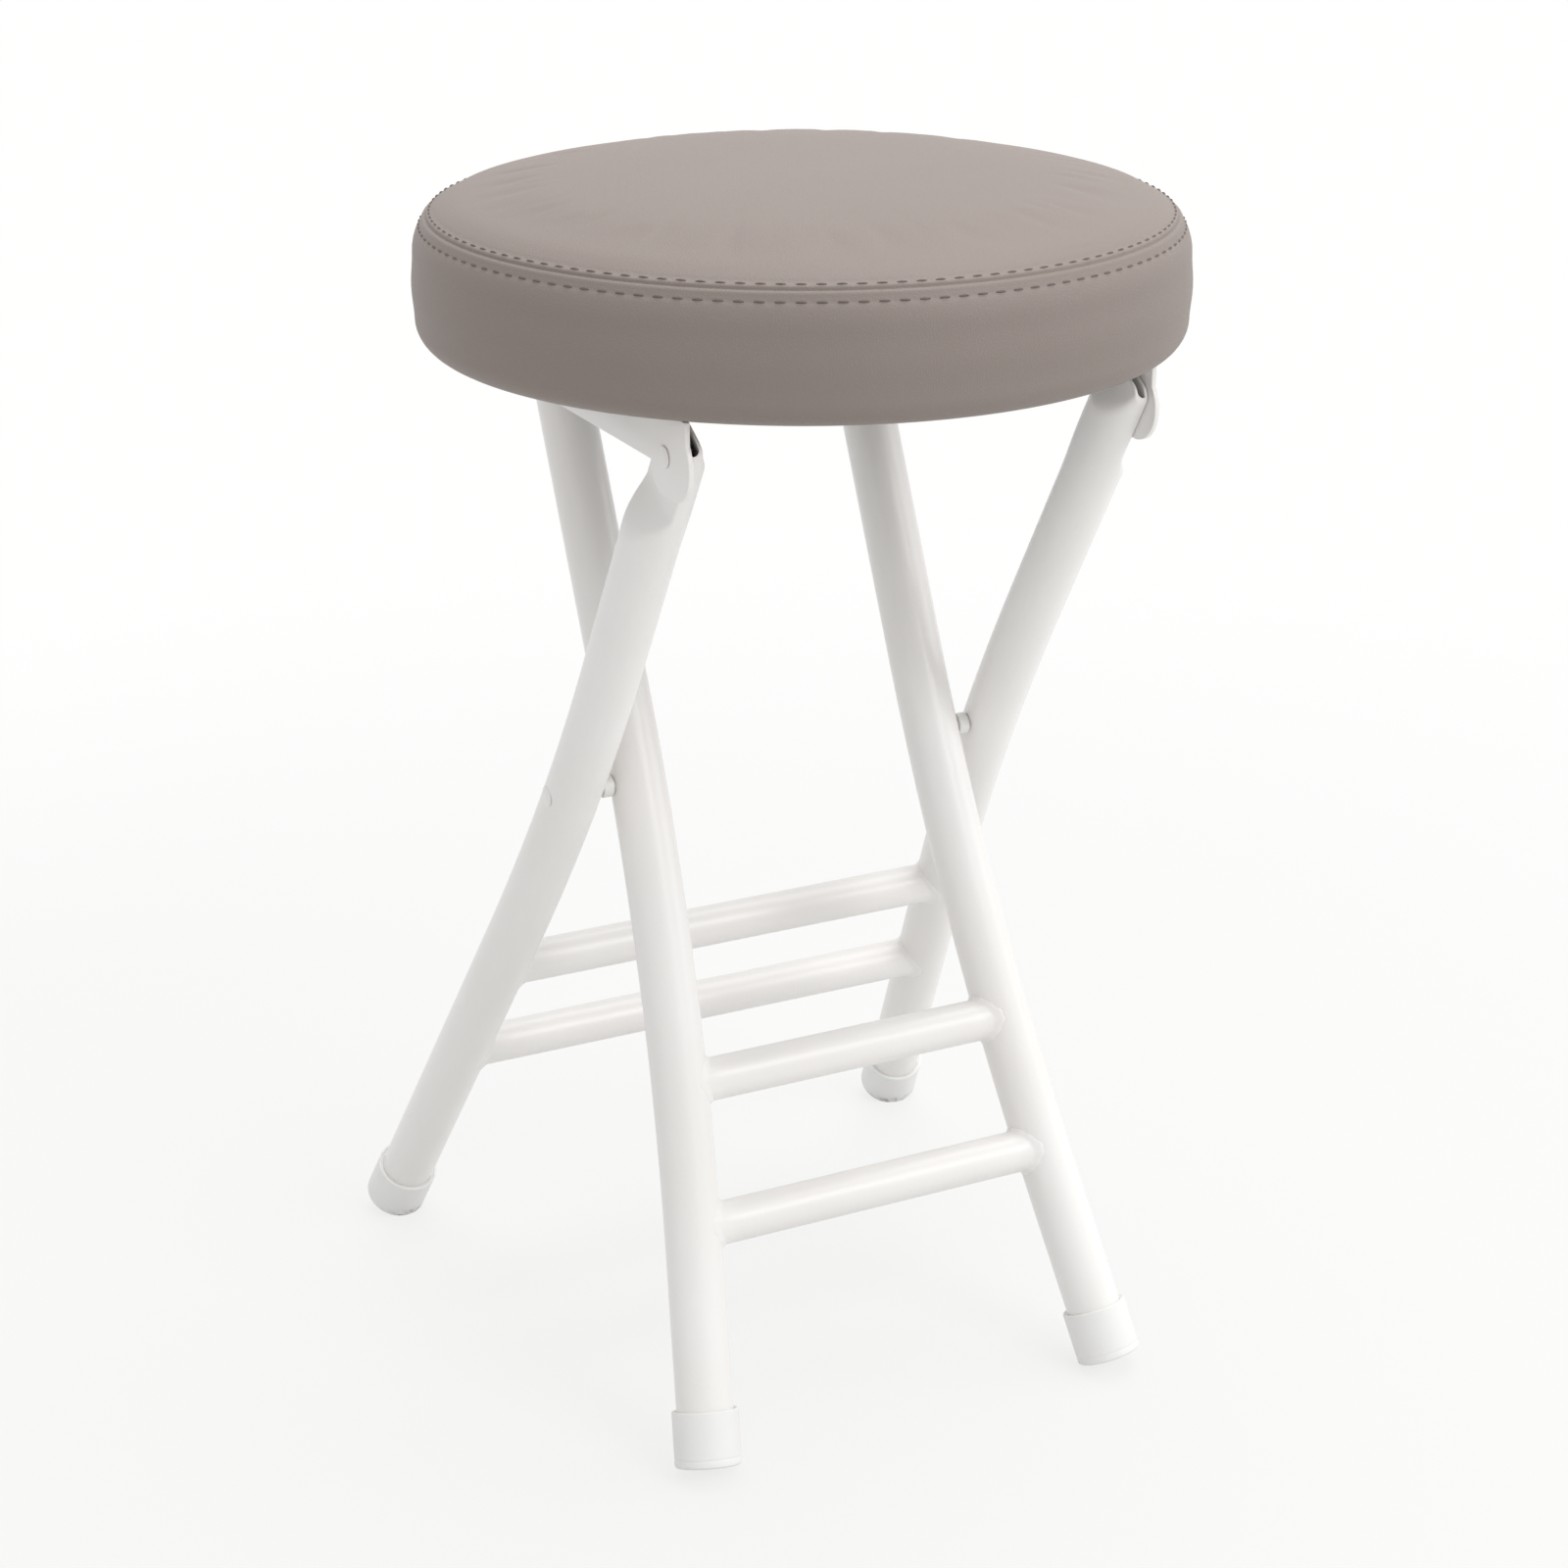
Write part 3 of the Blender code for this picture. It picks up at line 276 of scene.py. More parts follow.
class Finish(Nodes):
    """Material built node by node round one Principled shader."""

    def __init__(self, name, constants):
        self.material = bpy.data.materials.new(name)
        self.material.use_nodes = True
        super().__init__(self.material.node_tree)
        self.shader = self.tree.nodes["Principled BSDF"]
        for socket, value in constants.items():
            self.shader.inputs[socket].default_value = value
        self.place = self.node("ShaderNodeTexCoord", {}, {}, "Object")

    def noise(self, scale, detail=2.0, roughness=0.5, place=None):
        """Soft noise, scale in cells to the metre."""
        return self.node("ShaderNodeTexNoise", {},
                         {"Vector": place or self.place, "Scale": scale,
                          "Detail": detail, "Roughness": roughness})

    def cell_edges(self, scale, place):
        """Distance to the nearest edge in a field of cells, scale in cells to the metre."""
        return self.node("ShaderNodeTexVoronoi", {"feature": "DISTANCE_TO_EDGE"},
                         {"Vector": place, "Scale": scale}, "Distance")

    def stretched(self, scales):
        """Object coordinates with a scale of its own along each axis."""
        return self.node("ShaderNodeMapping", {}, {"Vector": self.place, "Scale": scales})

    def step(self, value, low, high):
        """Smooth step of a value from 0 at low to 1 at high."""
        return self.node("ShaderNodeMapRange", {"interpolation_type": "SMOOTHSTEP"},
                         {"Value": value, "From Min": low, "From Max": high})

    def blend(self, share, first, second):
        """Colour between two colours."""
        colours = [value if isinstance(value, Wire) else (*value, 1.0)
                   for value in (first, second)]
        return self.node("ShaderNodeMix", {"data_type": "RGBA"},
                         {0: share, 6: colours[0], 7: colours[1]}, 2)

    def feed(self, **wires):
        """Link wires to the shader's sockets, named with _ for a space."""
        for name, wire in wires.items():
            self.tree.links.new(wire.socket, self.shader.inputs[name.replace("_", " ")])
        return self.material

    def relief(self, height, depth):
        """Normal of a surface that rises by depth where the height is 1."""
        return self.node("ShaderNodeBump", {}, {"Height": height, "Distance": depth})


def powder_coat():
    """White powder coat: a fine orange peel, its gloss a little uneven, and faint dust."""
    coat = Finish("white_powder_coat", {"Coat Weight": 0.15, "Coat Roughness": 0.12})
    peel = coat.noise(520, 3.0) + coat.noise(140, 1.0) * 0.6
    cloud = coat.noise(11, 3.0)
    speck = coat.step(coat.noise(900, 4.0, 0.7), 0.66, 0.74)
    tone = coat.blend(coat.step(cloud, 0.3, 0.75), (0.88, 0.858, 0.838), (0.91, 0.895, 0.88))
    return coat.feed(Base_Color=coat.blend(speck * 0.12, tone, (0.55, 0.52, 0.49)),
                     Roughness=0.27 + cloud * 0.14, Normal=coat.relief(peel, 0.00006))


white_coat = powder_coat()


def outer_leg_skin(above, inset):
    """Points round the outer leg at ways above the pivot (rows, columns), for a skin that
    lies an inset within it: a circle whose outer side is pressed to a flat and whose inner
    side is squeezed towards it near the end. The press runs out along the mean of a
    straight ramp and a cosine squared. Both flats start an edge's width outside the tube,
    so they grow out of it without a crease."""
    angle = np.broadcast_to(2 * np.pi * (np.arange(TUBE_SIDES) + 0.5) / TUBE_SIDES, above.shape)
    share = np.clip((PRESS_START - above) / PRESS_RUN_OUT, 0, 1)
    press = (1 - share + np.cos(np.pi / 2 * share) ** 2) / 2
    start = TUBE_RADIUS + PRESS_EDGE
    flat = start + (PRESSED_FLAT - start) * press
    half_width = TUBE_RADIUS + (PRESSED_HALF_WIDTH - TUBE_RADIUS) * press - inset
    squeeze = np.clip((LEG_END_LENGTH - above) / SQUEEZED_LENGTH, 0, 1) ** SQUEEZE_POWER
    depth = LEG_END_DEPTH + (start - LEG_END_DEPTH) * squeeze
    wide = soft_less((TUBE_RADIUS - inset) * np.cos(angle), flat - inset, PRESS_EDGE)
    wide = -soft_less(-wide, depth - inset, PRESS_EDGE)
    height = pivot.z + above * math.cos(OUTER_TILT)
    middle = outer_line(height)
    slope = splay_slope(height, OUTER_SPLAY)
    down = unit(np.stack([slope, np.full_like(slope, math.tan(OUTER_TILT)),
                          np.full_like(slope, -1.0)], -1))
    outward = unit(np.array([1.0, 0, 0]) - down * down[..., :1])
    fore = np.cross(down, outward)
    return middle + outward * wide[..., None] + fore * (half_width * np.sin(angle))[..., None]


def leg_end(inset):
    """Way above the pivot at which the leg ends, round its columns: a level end whose two
    corners are quarter circles."""
    angle = 2 * np.pi * (np.arange(TUBE_SIDES) + 0.5) / TUBE_SIDES
    off = np.abs((PRESSED_HALF_WIDTH - inset) * np.sin(angle))
    beyond = np.clip(off - (PRESSED_HALF_WIDTH - LEG_END_CORNER), 0, LEG_END_CORNER)
    return LEG_END_LENGTH - LEG_END_RIM - LEG_END_CORNER + np.sqrt(LEG_END_CORNER ** 2
                                                                   - beyond ** 2)


def outer_leg_grid():
    """Right outer leg as one closed grid: outer skin down, bore up, rounded rim on top."""
    squeeze_start = LEG_END_LENGTH - SQUEEZED_LENGTH
    share = np.linspace(1, 0, 22)[:, None]
    rise = math.cos(OUTER_TILT)
    foot = (FOOT_HEIGHTS["outer"] + TUBE_END_IN_CAP - pivot.z) / rise
    bend = [(height - pivot.z) / rise for height in OUTER_SPLAY]
    lower = ways_between((squeeze_start, PRESS_START, PRESS_START - PRESS_RUN_OUT, *bend, foot),
                         (5, 17, 4, 23, 7))[1:]
    skins = []
    for inset in (0.0, TUBE_WALL):
        top = squeeze_start + (leg_end(inset)[None, :] - squeeze_start) * share
        above = np.concatenate([top, np.repeat(lower[:, None], TUBE_SIDES, axis=1)])
        skins.append(outer_leg_skin(above, inset))
    rim = []
    for turn in np.pi * np.arange(1, 6) / 6:
        inset = TUBE_WALL * (1 + math.cos(turn)) / 2
        above = leg_end(inset)[None, :] + LEG_END_RIM * math.sin(turn)
        rim.append(outer_leg_skin(above, inset))
    return np.concatenate([skins[0], skins[1][::-1], *rim])


for word, side in SIDES.items():
    leg_points = outer_leg_grid() * (side, 1, 1)
    leg = grid_piece(f"outer_tube_{word}", [leg_points], white_coat, rows_close=True)
    fit(leg, "outer_frame", "powder_coated_steel", f"outer_leg_{word}")

# Rungs: two 17 mm tubes across each frame, coped to the legs and welded on all round
# before the frame was coated, so a soft uneven bead runs round each end.
RUNG_RADIUS = 0.0085
RUNG_SIDES = 56
OUTER_RUNGS = {"upper": 0.1477, "lower": 0.0985}
INNER_RUNGS = {"upper": 0.1356, "lower": 0.0856}
RUNG_PLUG_SHARE = 0.6
BEAD_WIDTH = 0.0016
BEAD_HUMP = 0.147
BEAD_WIDTH_RIPPLE = 0.10
BEAD_HUMP_RIPPLE = 0.15
BEAD_RIPPLES = (15, 7)
BEAD_SHIFT_BY_HEIGHT = 900
BEAD_SECOND_SHIFT = 2.1
BEAD_SUNK = 0.0004


def leg_face(radius, angle, down):
    """How far outside a leg's middle the leg's skin is met by a line along X that lies a
    radius and an angle off the rung's middle: the lesser root of |v|^2 - (v.d)^2 = R^2."""
    off_y = radius * np.cos(angle)
    off_z = radius * np.sin(angle)
    along = off_y * down[1] + off_z * down[2]
    square = 1 - down[0] ** 2
    rest = off_y ** 2 + off_z ** 2 - along ** 2 - TUBE_RADIUS ** 2
    return (down[0] * along - np.sqrt((down[0] * along) ** 2 - square * rest)) / square


def rung_grid(middle, down):
    """Rung from pole to pole: its tube, at each end a bead from the rung's skin to the
    leg's, a straight line with a rippled hump of 4 s (1 - s), and a plug inside the leg."""
    angle = 2 * np.pi * np.arange(RUNG_SIDES) / RUNG_SIDES
    many, few = BEAD_RIPPLES
    ripple = (np.sin(many * angle + BEAD_SHIFT_BY_HEIGHT * middle[2])
              + np.sin(few * angle + BEAD_SECOND_SHIFT) / 2)
    width = BEAD_WIDTH * (1 + BEAD_WIDTH_RIPPLE * ripple)
    hump = BEAD_HUMP * width * (1 + BEAD_HUMP_RIPPLE * ripple)
    plug = RUNG_RADIUS * RUNG_PLUG_SHARE
    corner = middle[0] + leg_face(RUNG_RADIUS, angle, down)
    rows = [(share * (corner - width), RUNG_RADIUS) for share in np.linspace(0, 1, 10)]
    reach = middle[0] + leg_face(RUNG_RADIUS + width, angle, down)
    for share in np.linspace(0, 1, 8)[1:]:
        straight = (corner - width) + (reach - corner + width) * share
        raised = 4 * share * (1 - share) * hump
        rows.append((straight + raised * (1 - share),
                     RUNG_RADIUS + width * share + raised * share))
    rows.append((reach + BEAD_SUNK, RUNG_RADIUS + width * 0.9))
    rows.append((middle[0] + leg_face(plug, angle, down) + 2 * BEAD_SUNK, plug))
    pole = middle[0] + leg_face(0.0, 0.0, down) + 2 * BEAD_SUNK
    rows.append((np.full(RUNG_SIDES, pole), 0.0))
    half = np.stack([np.stack([across, middle[1] + wide * np.cos(angle),
                               middle[2] + wide * np.sin(angle)], -1)
                     for across, wide in rows])
    return np.concatenate([(half * (-1, 1, 1))[:0:-1], half])


def make_rungs(frame_word, heights, line, tilt, bend):
    """Both rungs of one frame."""
    for word, height in heights.items():
        slope = splay_slope(height, bend)
        down = unit(np.array([float(slope), math.tan(tilt), -1.0]))
        grid = rung_grid(line(np.array(height)), down)
        rung = grid_piece(f"{frame_word}_crosspiece_{word}", [grid], white_coat)
        fit(rung, f"{frame_word}_frame", "powder_coated_steel", f"{frame_word}_rung_{word}")


make_rungs("outer", OUTER_RUNGS, outer_line, OUTER_TILT, OUTER_SPLAY)

# Foot caps: white plastic cups pushed over the tube ends. The outer frame's feet point to
# the rear, the inner frame's to the front, and each cap is worn flat where it meets the
# floor.
GAP = 0.0003
CAP_WALL = 0.0016
CAP_LENGTH = 0.0215
CAP_FLOOR = 0.0035
CAP_EDGE = 0.0011
CAP_BEAD = 0.0006
CAP_BEAD_START = math.radians(171)
CAP_SHELF_DEPTH = 0.0005
CAP_CLEARANCE = 0.00006
CAP_RIDGE_HEIGHT = 0.0031
CAP_RIDGE_DEPTH = 0.00016
CAP_RIDGE_WIDTH = 0.00035
CAP_SIDES = 96


def arc(centre, radius, start, end, count):
    """Points of a circle about a centre, from one angle to another."""
    angle = np.linspace(start, end, count)
    return np.stack([centre[0] + radius * np.cos(angle), centre[1] + radius * np.sin(angle)],
                    -1)


def turned(profile, steps, foot, up):
    """Grid of a profile of (radius, height) turned about the line from foot along up, which
    isn't the Y axis."""
    up = unit(np.asarray(up, float))
    beside = unit(np.cross(up, [0.0, 1.0, 0.0]))
    ahead = np.cross(up, beside)
    angle = 2 * np.pi * np.arange(steps) / steps
    ring = np.cos(angle)[:, None] * beside + np.sin(angle)[:, None] * ahead
    return (np.asarray(foot) + profile[:, 0, None, None] * ring
            + profile[:, 1, None, None] * up)


def moulded_plastic():
    """White moulded plastic: a fine spark-eroded grain, scuffed and greyed by the floor."""
    plastic = Finish("white_plastic", {"Coat Weight": 0.0})
    height = plastic.node("ShaderNodeSeparateXYZ", {}, {"Vector": plastic.place}, "Z")
    patch = plastic.noise(420, 4.0, 0.65)
    near_floor = 1 - plastic.step(height, 0.0006, 0.0052)
    scuff = near_floor * plastic.step(patch, 0.40, 0.66)
    tone = plastic.blend(plastic.noise(60, 2.0), (0.86, 0.855, 0.845), (0.89, 0.885, 0.875))
    return plastic.feed(Base_Color=plastic.blend(scuff * 0.75, tone, (0.36, 0.345, 0.33)),
                        Roughness=0.42 + scuff * 0.3 + plastic.noise(45) * 0.08,
                        Normal=plastic.relief(plastic.noise(2600, 2.0) + scuff * 0.6, 0.00003))


foot_plastic = moulded_plastic()


def cap_profile():
    """Section of a cap: floor of the bore, bore, a shelf inside the round bead of the lip,
    side with a fine groove near the bottom, rounded lower edge and lower face."""
    bore = TUBE_RADIUS + CAP_CLEARANCE
    outer = TUBE_RADIUS + GAP + CAP_WALL
    lip = CAP_LENGTH - CAP_BEAD
    shelf = CAP_LENGTH - CAP_SHELF_DEPTH
    side = np.linspace(lip, CAP_EDGE, 60)[1:-1]
    ridge = CAP_RIDGE_DEPTH * np.exp(-((side - CAP_RIDGE_HEIGHT) / CAP_RIDGE_WIDTH) ** 2)
    return np.concatenate([
        [(0, CAP_FLOOR), (bore, CAP_FLOOR), (bore, shelf)],
        arc((outer - CAP_BEAD, lip), CAP_BEAD, CAP_BEAD_START, 0, 12),
        np.stack([outer - ridge, side], -1),
        arc((outer - CAP_EDGE, CAP_EDGE), CAP_EDGE, 0, -np.pi / 2, 8),
        np.stack([np.linspace(outer - CAP_EDGE, 0, 12)[1:], np.zeros(11)], -1)])


def make_caps(frame_word, line, lean):
    """Both caps of one frame; lean is the slope in Y of its legs on their way down."""
    height = FOOT_HEIGHTS[frame_word]
    down = unit(np.array([SPLAY_SLOPE, lean, -1.0]))
    for word, side in SIDES.items():
        grid = turned(cap_profile(), CAP_SIDES, line(np.array(height)), -down)
        grid[..., 2] = np.maximum(grid[..., 2], 0)
        cap = grid_piece(f"{frame_word}_foot_{word}", [grid * (side, 1, 1)], foot_plastic)
        fit(cap, f"{frame_word}_frame", "foot_plastic", f"{frame_word}_foot_cap_{word}")


make_caps("outer", outer_line, math.tan(OUTER_TILT))

# Inner frame: one tube bent like an upside-down U, whose crossbar lies in the hooks under
# the seat. It has the same coat, rungs and caps as the outer frame.
CROSSBAR_HEIGHT = 0.4032
CROSSBAR_BEND = 0.024


def inner_tube_grid():
    """Inner frame as one closed grid: a circle carried along a line that goes up a leg,
    round a bend, over the crossbar and down again, first for the skin, then for the bore."""
    rise = math.cos(INNER_TILT)
    foot = FOOT_HEIGHTS["inner"] + TUBE_END_IN_CAP
    bend_start = CROSSBAR_HEIGHT - CROSSBAR_BEND * rise
    height = ways_between((foot, *INNER_SPLAY[::-1], bend_start), (7, 29, 7))
    leg = np.stack([INNER_HALF_WIDTH + splay(height, INNER_SPLAY), height], -1)
    turn = np.linspace(0, np.pi / 2, 24)[1:]
    bend = np.stack([INNER_HALF_WIDTH - CROSSBAR_BEND * (1 - np.cos(turn)),
                     CROSSBAR_HEIGHT - CROSSBAR_BEND * (1 - np.sin(turn)) * rise], -1)
    bar = np.linspace(INNER_HALF_WIDTH - CROSSBAR_BEND, 0, 8)[1:]
    half = np.concatenate([leg, bend, np.stack([bar, np.full_like(bar, CROSSBAR_HEIGHT)], -1)])
    path = np.concatenate([half, (half * (-1, 1))[-2::-1]])
    middle = np.stack([path[:, 0],
                       crossing.y - (crossing.z - path[:, 1]) * math.tan(INNER_TILT),
                       path[:, 1]], -1)
    ahead = unit(np.gradient(middle, axis=0))
    normal = np.array([0, -math.cos(INNER_TILT), math.sin(INNER_TILT)])
    beside = np.cross(ahead, normal)
    angle = 2 * np.pi * np.arange(TUBE_SIDES) / TUBE_SIDES
    ring = (np.cos(angle)[None, :, None] * normal
            + np.sin(angle)[None, :, None] * beside[:, None, :])
    skin = middle[:, None, :] + TUBE_RADIUS * ring
    bore = middle[:, None, :] + (TUBE_RADIUS - TUBE_WALL) * ring
    return np.concatenate([skin, bore[::-1]])


inner_tube = grid_piece("inner_tube", [inner_tube_grid()], white_coat, rows_close=True)
fit(inner_tube, "inner_frame", "powder_coated_steel", "inner_frame_tube")
make_rungs("inner", INNER_RUNGS, inner_line, -INNER_TILT, INNER_SPLAY)
make_caps("inner", inner_line, -math.tan(INNER_TILT))

# Crossing: on each side one coated steel rivet goes through both legs, with a white nylon
# spacer between them so that the tubes don't rub.
RIVET_RADIUS = 0.0028
RIVET_HEAD = (0.004, 0.0007)
RIVET_TAIL = (0.0043, 0.0015)
RIVET_RIM_SHARE = 0.2
RIVET_SIDES = 48
CROSSING_HEAD_SUNK = 0.0009
SPACER_WALL = 0.0013
SPACER_EDGE = 0.0003


def rivet_profile(length):
    """Section of a rivet from its tail to its head: a domed tail, the shank, and a low
    domed head, each dome a quarter of an ellipse with a short straight rim."""
    turn = np.linspace(0, np.pi / 2, 10)
    tail, tail_height = RIVET_TAIL
    head, head_height = RIVET_HEAD
    rim, dome = RIVET_RIM_SHARE, 1 - RIVET_RIM_SHARE
    tail_dome = np.stack([tail * np.sin(turn), -tail_height * (rim + dome * np.cos(turn))], -1)
    head_dome = np.stack([head * np.cos(turn),
                          length + head_height * (rim + dome * np.sin(turn))], -1)
    return np.concatenate([tail_dome, [(tail, 0), (RIVET_RADIUS, 0), (RIVET_RADIUS, length),
                                       (head, length)], head_dome])


def nylon_finish():
    """White nylon: slightly translucent looking, smooth, with a faint cloudiness."""
    nylon = Finish("white_nylon", {"Coat Weight": 0.0})
    cloud = nylon.noise(90, 3.0)
    return nylon.feed(Base_Color=nylon.blend(cloud, (0.80, 0.795, 0.76), (0.87, 0.865, 0.84)),
                      Roughness=0.38 + cloud * 0.16,
                      Normal=nylon.relief(nylon.noise(1800, 2.0), 0.00002))


white_nylon = nylon_finish()
inner_slope = float(splay_slope(crossing.z, INNER_SPLAY))
outer_slope = float(splay_slope(crossing.z, OUTER_SPLAY))
bore_reach = math.sqrt((TUBE_RADIUS - TUBE_WALL) ** 2 - RIVET_TAIL[0] ** 2)
crossing_tail_x = inner_at_crossing + bore_reach - GAP - RIVET_TAIL[0] * inner_slope
crossing_head_x = (outer_at_crossing + TUBE_RADIUS + GAP - CROSSING_HEAD_SUNK
                   + RIVET_HEAD[0] * outer_slope)
spacer_bore = RIVET_RADIUS + GAP
spacer_rim = spacer_bore + SPACER_WALL
spacer_start = inner_at_crossing + TUBE_RADIUS + GAP + spacer_rim * inner_slope
spacer_end = outer_at_crossing - TUBE_RADIUS - GAP - spacer_rim * outer_slope
spacer_length = spacer_end - spacer_start
spacer_profile = np.array([(spacer_bore, 0), (spacer_rim - SPACER_EDGE, 0),
                           (spacer_rim, SPACER_EDGE), (spacer_rim, spacer_length - SPACER_EDGE),
                           (spacer_rim - SPACER_EDGE, spacer_length),
                           (spacer_bore, spacer_length)])
for word, side in SIDES.items():
    grid = turned(rivet_profile(crossing_head_x - crossing_tail_x), RIVET_SIDES,
                  (crossing_tail_x, crossing.y, crossing.z), (1, 0, 0))
    rivet = grid_piece(f"crossing_pin_{word}", [grid * (side, 1, 1)], white_coat)
    fit(rivet, "outer_frame", "powder_coated_steel", f"crossing_rivet_{word}")
    grid = turned(spacer_profile, RIVET_SIDES, (spacer_start, crossing.y, crossing.z),
                  (1, 0, 0))
    spacer = grid_piece(f"crossing_washer_{word}", [grid * (side, 1, 1)], white_nylon,
                        rows_close=True)
    fit(spacer, "outer_frame", "nylon", f"crossing_spacer_{word}")

# Seat board and tee nuts: a 12 mm plywood disc with four zinc plated nuts let into its top.
# Both are inside the cushion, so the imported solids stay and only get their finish.
def plywood_finish():
    """Rotary cut plywood: long soft grain across the faces, pores and darker rays."""
    wood = Finish("plywood", {"Coat Weight": 0.0})
    along = wood.stretched((1, 9, 40))
    grain = wood.noise(14, 6.0, 0.62, along)
    pore = wood.step(wood.noise(160, 3.0, 0.6, along), 0.55, 0.72)
    tone = wood.node("ShaderNodeValToRGB", {"stops": [(0.25, (0.50, 0.35, 0.20)),
                                                      (0.75, (0.70, 0.54, 0.35))]},
                     {"Fac": grain})
    return wood.feed(Base_Color=wood.blend(pore * 0.5, tone, (0.34, 0.22, 0.12)),
                     Roughness=0.62 + grain * 0.2, Normal=wood.relief(grain - pore, 0.0001))


def zinc_finish():
    """Bright zinc plate: cold grey steel with soft cloudy patches and fine drawn lines."""
    zinc = Finish("zinc_steel", {"Metallic": 1.0})
    cloud = zinc.noise(260, 4.0, 0.6)
    line = zinc.noise(240, 3.0, 0.6, zinc.stretched((1, 1, 30)))
    tone = zinc.blend(zinc.step(cloud, 0.35, 0.7), (0.62, 0.63, 0.64), (0.76, 0.77, 0.76))
    return zinc.feed(Base_Color=tone, Roughness=0.24 + cloud * 0.2,
                     Normal=zinc.relief(line + cloud * 0.5, 0.00002))


zinc_steel = zinc_finish()
plywood = plywood_finish()
for node_name, node in frame["nodes"].items():
    if node_name.startswith("tee_nut") or node_name == "seat_board":
        node.data.materials.clear()
        node.data.materials.append(plywood if node_name == "seat_board" else zinc_steel)

# Seat cushion: taupe leathercloth over foam, a round top panel sewn to a side band just
# over the shoulder. The band is pulled down round the board and stapled under it.
seat_low, seat_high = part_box("seat_cover_side")
crown_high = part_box("seat_cover_top")[1].z
SEAT_RADIUS = (seat_high.x - seat_low.x) / 2
SEAT_MIDDLE = (seat_high.y + seat_low.y) / 2
SEAT_UNDERSIDE = seat_low.z
SEAT_CROWN = 0.0076
CROWN_POWER = 3.2
SHOULDER_RADIUS = 0.0224
SHOULDER_HEIGHT = 0.0202
SHOULDER_TOP = math.radians(76)
SEAM_ANGLE = math.radians(40.5)
SIDE_BULGE = 0.0008
LOWER_EDGE = 0.0096
HEM_WIDTH = 0.017
HEM_LIFT = 0.00115
HEM_FOLD = 0.0003
COVER_COLUMNS = 832
CLOTH_COLUMNS = 256
STITCH_COUNT = 128
UPPER_STITCH = -0.0022
LOWER_STITCH = 0.0046
HEM_RADIUS = SEAT_RADIUS - SIDE_BULGE - LOWER_EDGE - HEM_WIDTH
seat_rim = crown_high - SEAT_CROWN


def cushion_section():
    """Fine section of the cushion from its middle over the crown, down the shoulder and the
    side, round the lower edge, in along the hem and back to the middle above it: crown as a
    power of the radius, shoulder as a part of an ellipse, side bulging as a sine squared."""
    turn = np.linspace(SHOULDER_TOP, 0, 240)
    shoulder = np.stack([SEAT_RADIUS - SIDE_BULGE - SHOULDER_RADIUS * (1 - np.cos(turn)),
                         seat_rim - SHOULDER_HEIGHT * (1 - np.sin(turn))], -1)
    edge_radius, edge_height = shoulder[0]
    share = np.linspace(0, 1, 300)[:-1]
    crown = np.stack([edge_radius * share,
                      crown_high - (crown_high - edge_height) * share ** CROWN_POWER], -1)
    drop = np.linspace(0, 1, 200)[1:]
    top, bottom = seat_rim - SHOULDER_HEIGHT, SEAT_UNDERSIDE + LOWER_EDGE
    side = np.stack([SEAT_RADIUS - SIDE_BULGE * np.cos(np.pi * drop) ** 2,
                     top + (bottom - top) * drop], -1)
    lower = arc((SEAT_RADIUS - SIDE_BULGE - LOWER_EDGE, bottom), LOWER_EDGE, 0, -np.pi / 2, 80)
    hem = np.stack([np.linspace(lower[-1, 0], HEM_RADIUS, 60)[1:],
                    np.full(59, SEAT_UNDERSIDE)], -1)
    inside = np.array([(HEM_RADIUS - HEM_FOLD, SEAT_UNDERSIDE + HEM_LIFT),
                       (0.0, SEAT_UNDERSIDE + HEM_LIFT)])
    return np.concatenate([crown, shoulder, side, lower[1:], hem, inside])


section = cushion_section()
section_way = np.concatenate([[0], np.cumsum(np.linalg.norm(np.diff(section, axis=0), axis=1))])


def way_to(radius, height):
    """Way along the section to its point nearest to a radius and height."""
    return section_way[np.argmin(np.hypot(section[:, 0] - radius, section[:, 1] - height))]


seam_way = way_to(SEAT_RADIUS - SIDE_BULGE - SHOULDER_RADIUS * (1 - math.cos(SEAM_ANGLE)),
                  seat_rim - SHOULDER_HEIGHT * (1 - math.sin(SEAM_ANGLE)))
stitch_ways = (seam_way + UPPER_STITCH, seam_way + LOWER_STITCH)
lower_edge_way = way_to(SEAT_RADIUS - SIDE_BULGE, SEAT_UNDERSIDE + LOWER_EDGE)
hem_start_way = way_to(SEAT_RADIUS - SIDE_BULGE - LOWER_EDGE, SEAT_UNDERSIDE)
hem_end_way = way_to(HEM_RADIUS, SEAT_UNDERSIDE)


NORMAL_STEP = 0.0003
LEAST_LENGTH = 0.0000001


def section_at(ways):
    """Radius and height of the section at ways along it."""
    return (np.interp(ways, section_way, section[:, 0]),
            np.interp(ways, section_way, section[:, 1]))


def cushion_grid(ways, columns, inset=0.0):
    """Section turned about the seat's axis at the given ways along it, with its normals."""
    radius, height = section_at(ways)
    radius_after, height_after = section_at(ways + NORMAL_STEP)
    radius_before, height_before = section_at(ways - NORMAL_STEP)
    run, drop = radius_after - radius_before, height_after - height_before
    size = np.maximum(np.hypot(run, drop), LEAST_LENGTH)
    out, up = -drop / size, run / size
    angle = 2 * np.pi * np.arange(columns) / columns
    normal = np.stack([out[:, None] * np.cos(angle), out[:, None] * np.sin(angle),
                       np.repeat(up[:, None], columns, axis=1)], -1)
    flat = np.stack([radius[:, None] * np.cos(angle),
                     SEAT_MIDDLE + radius[:, None] * np.sin(angle),
                     np.repeat(height[:, None], columns, axis=1)], -1)
    return flat - normal * inset, normal


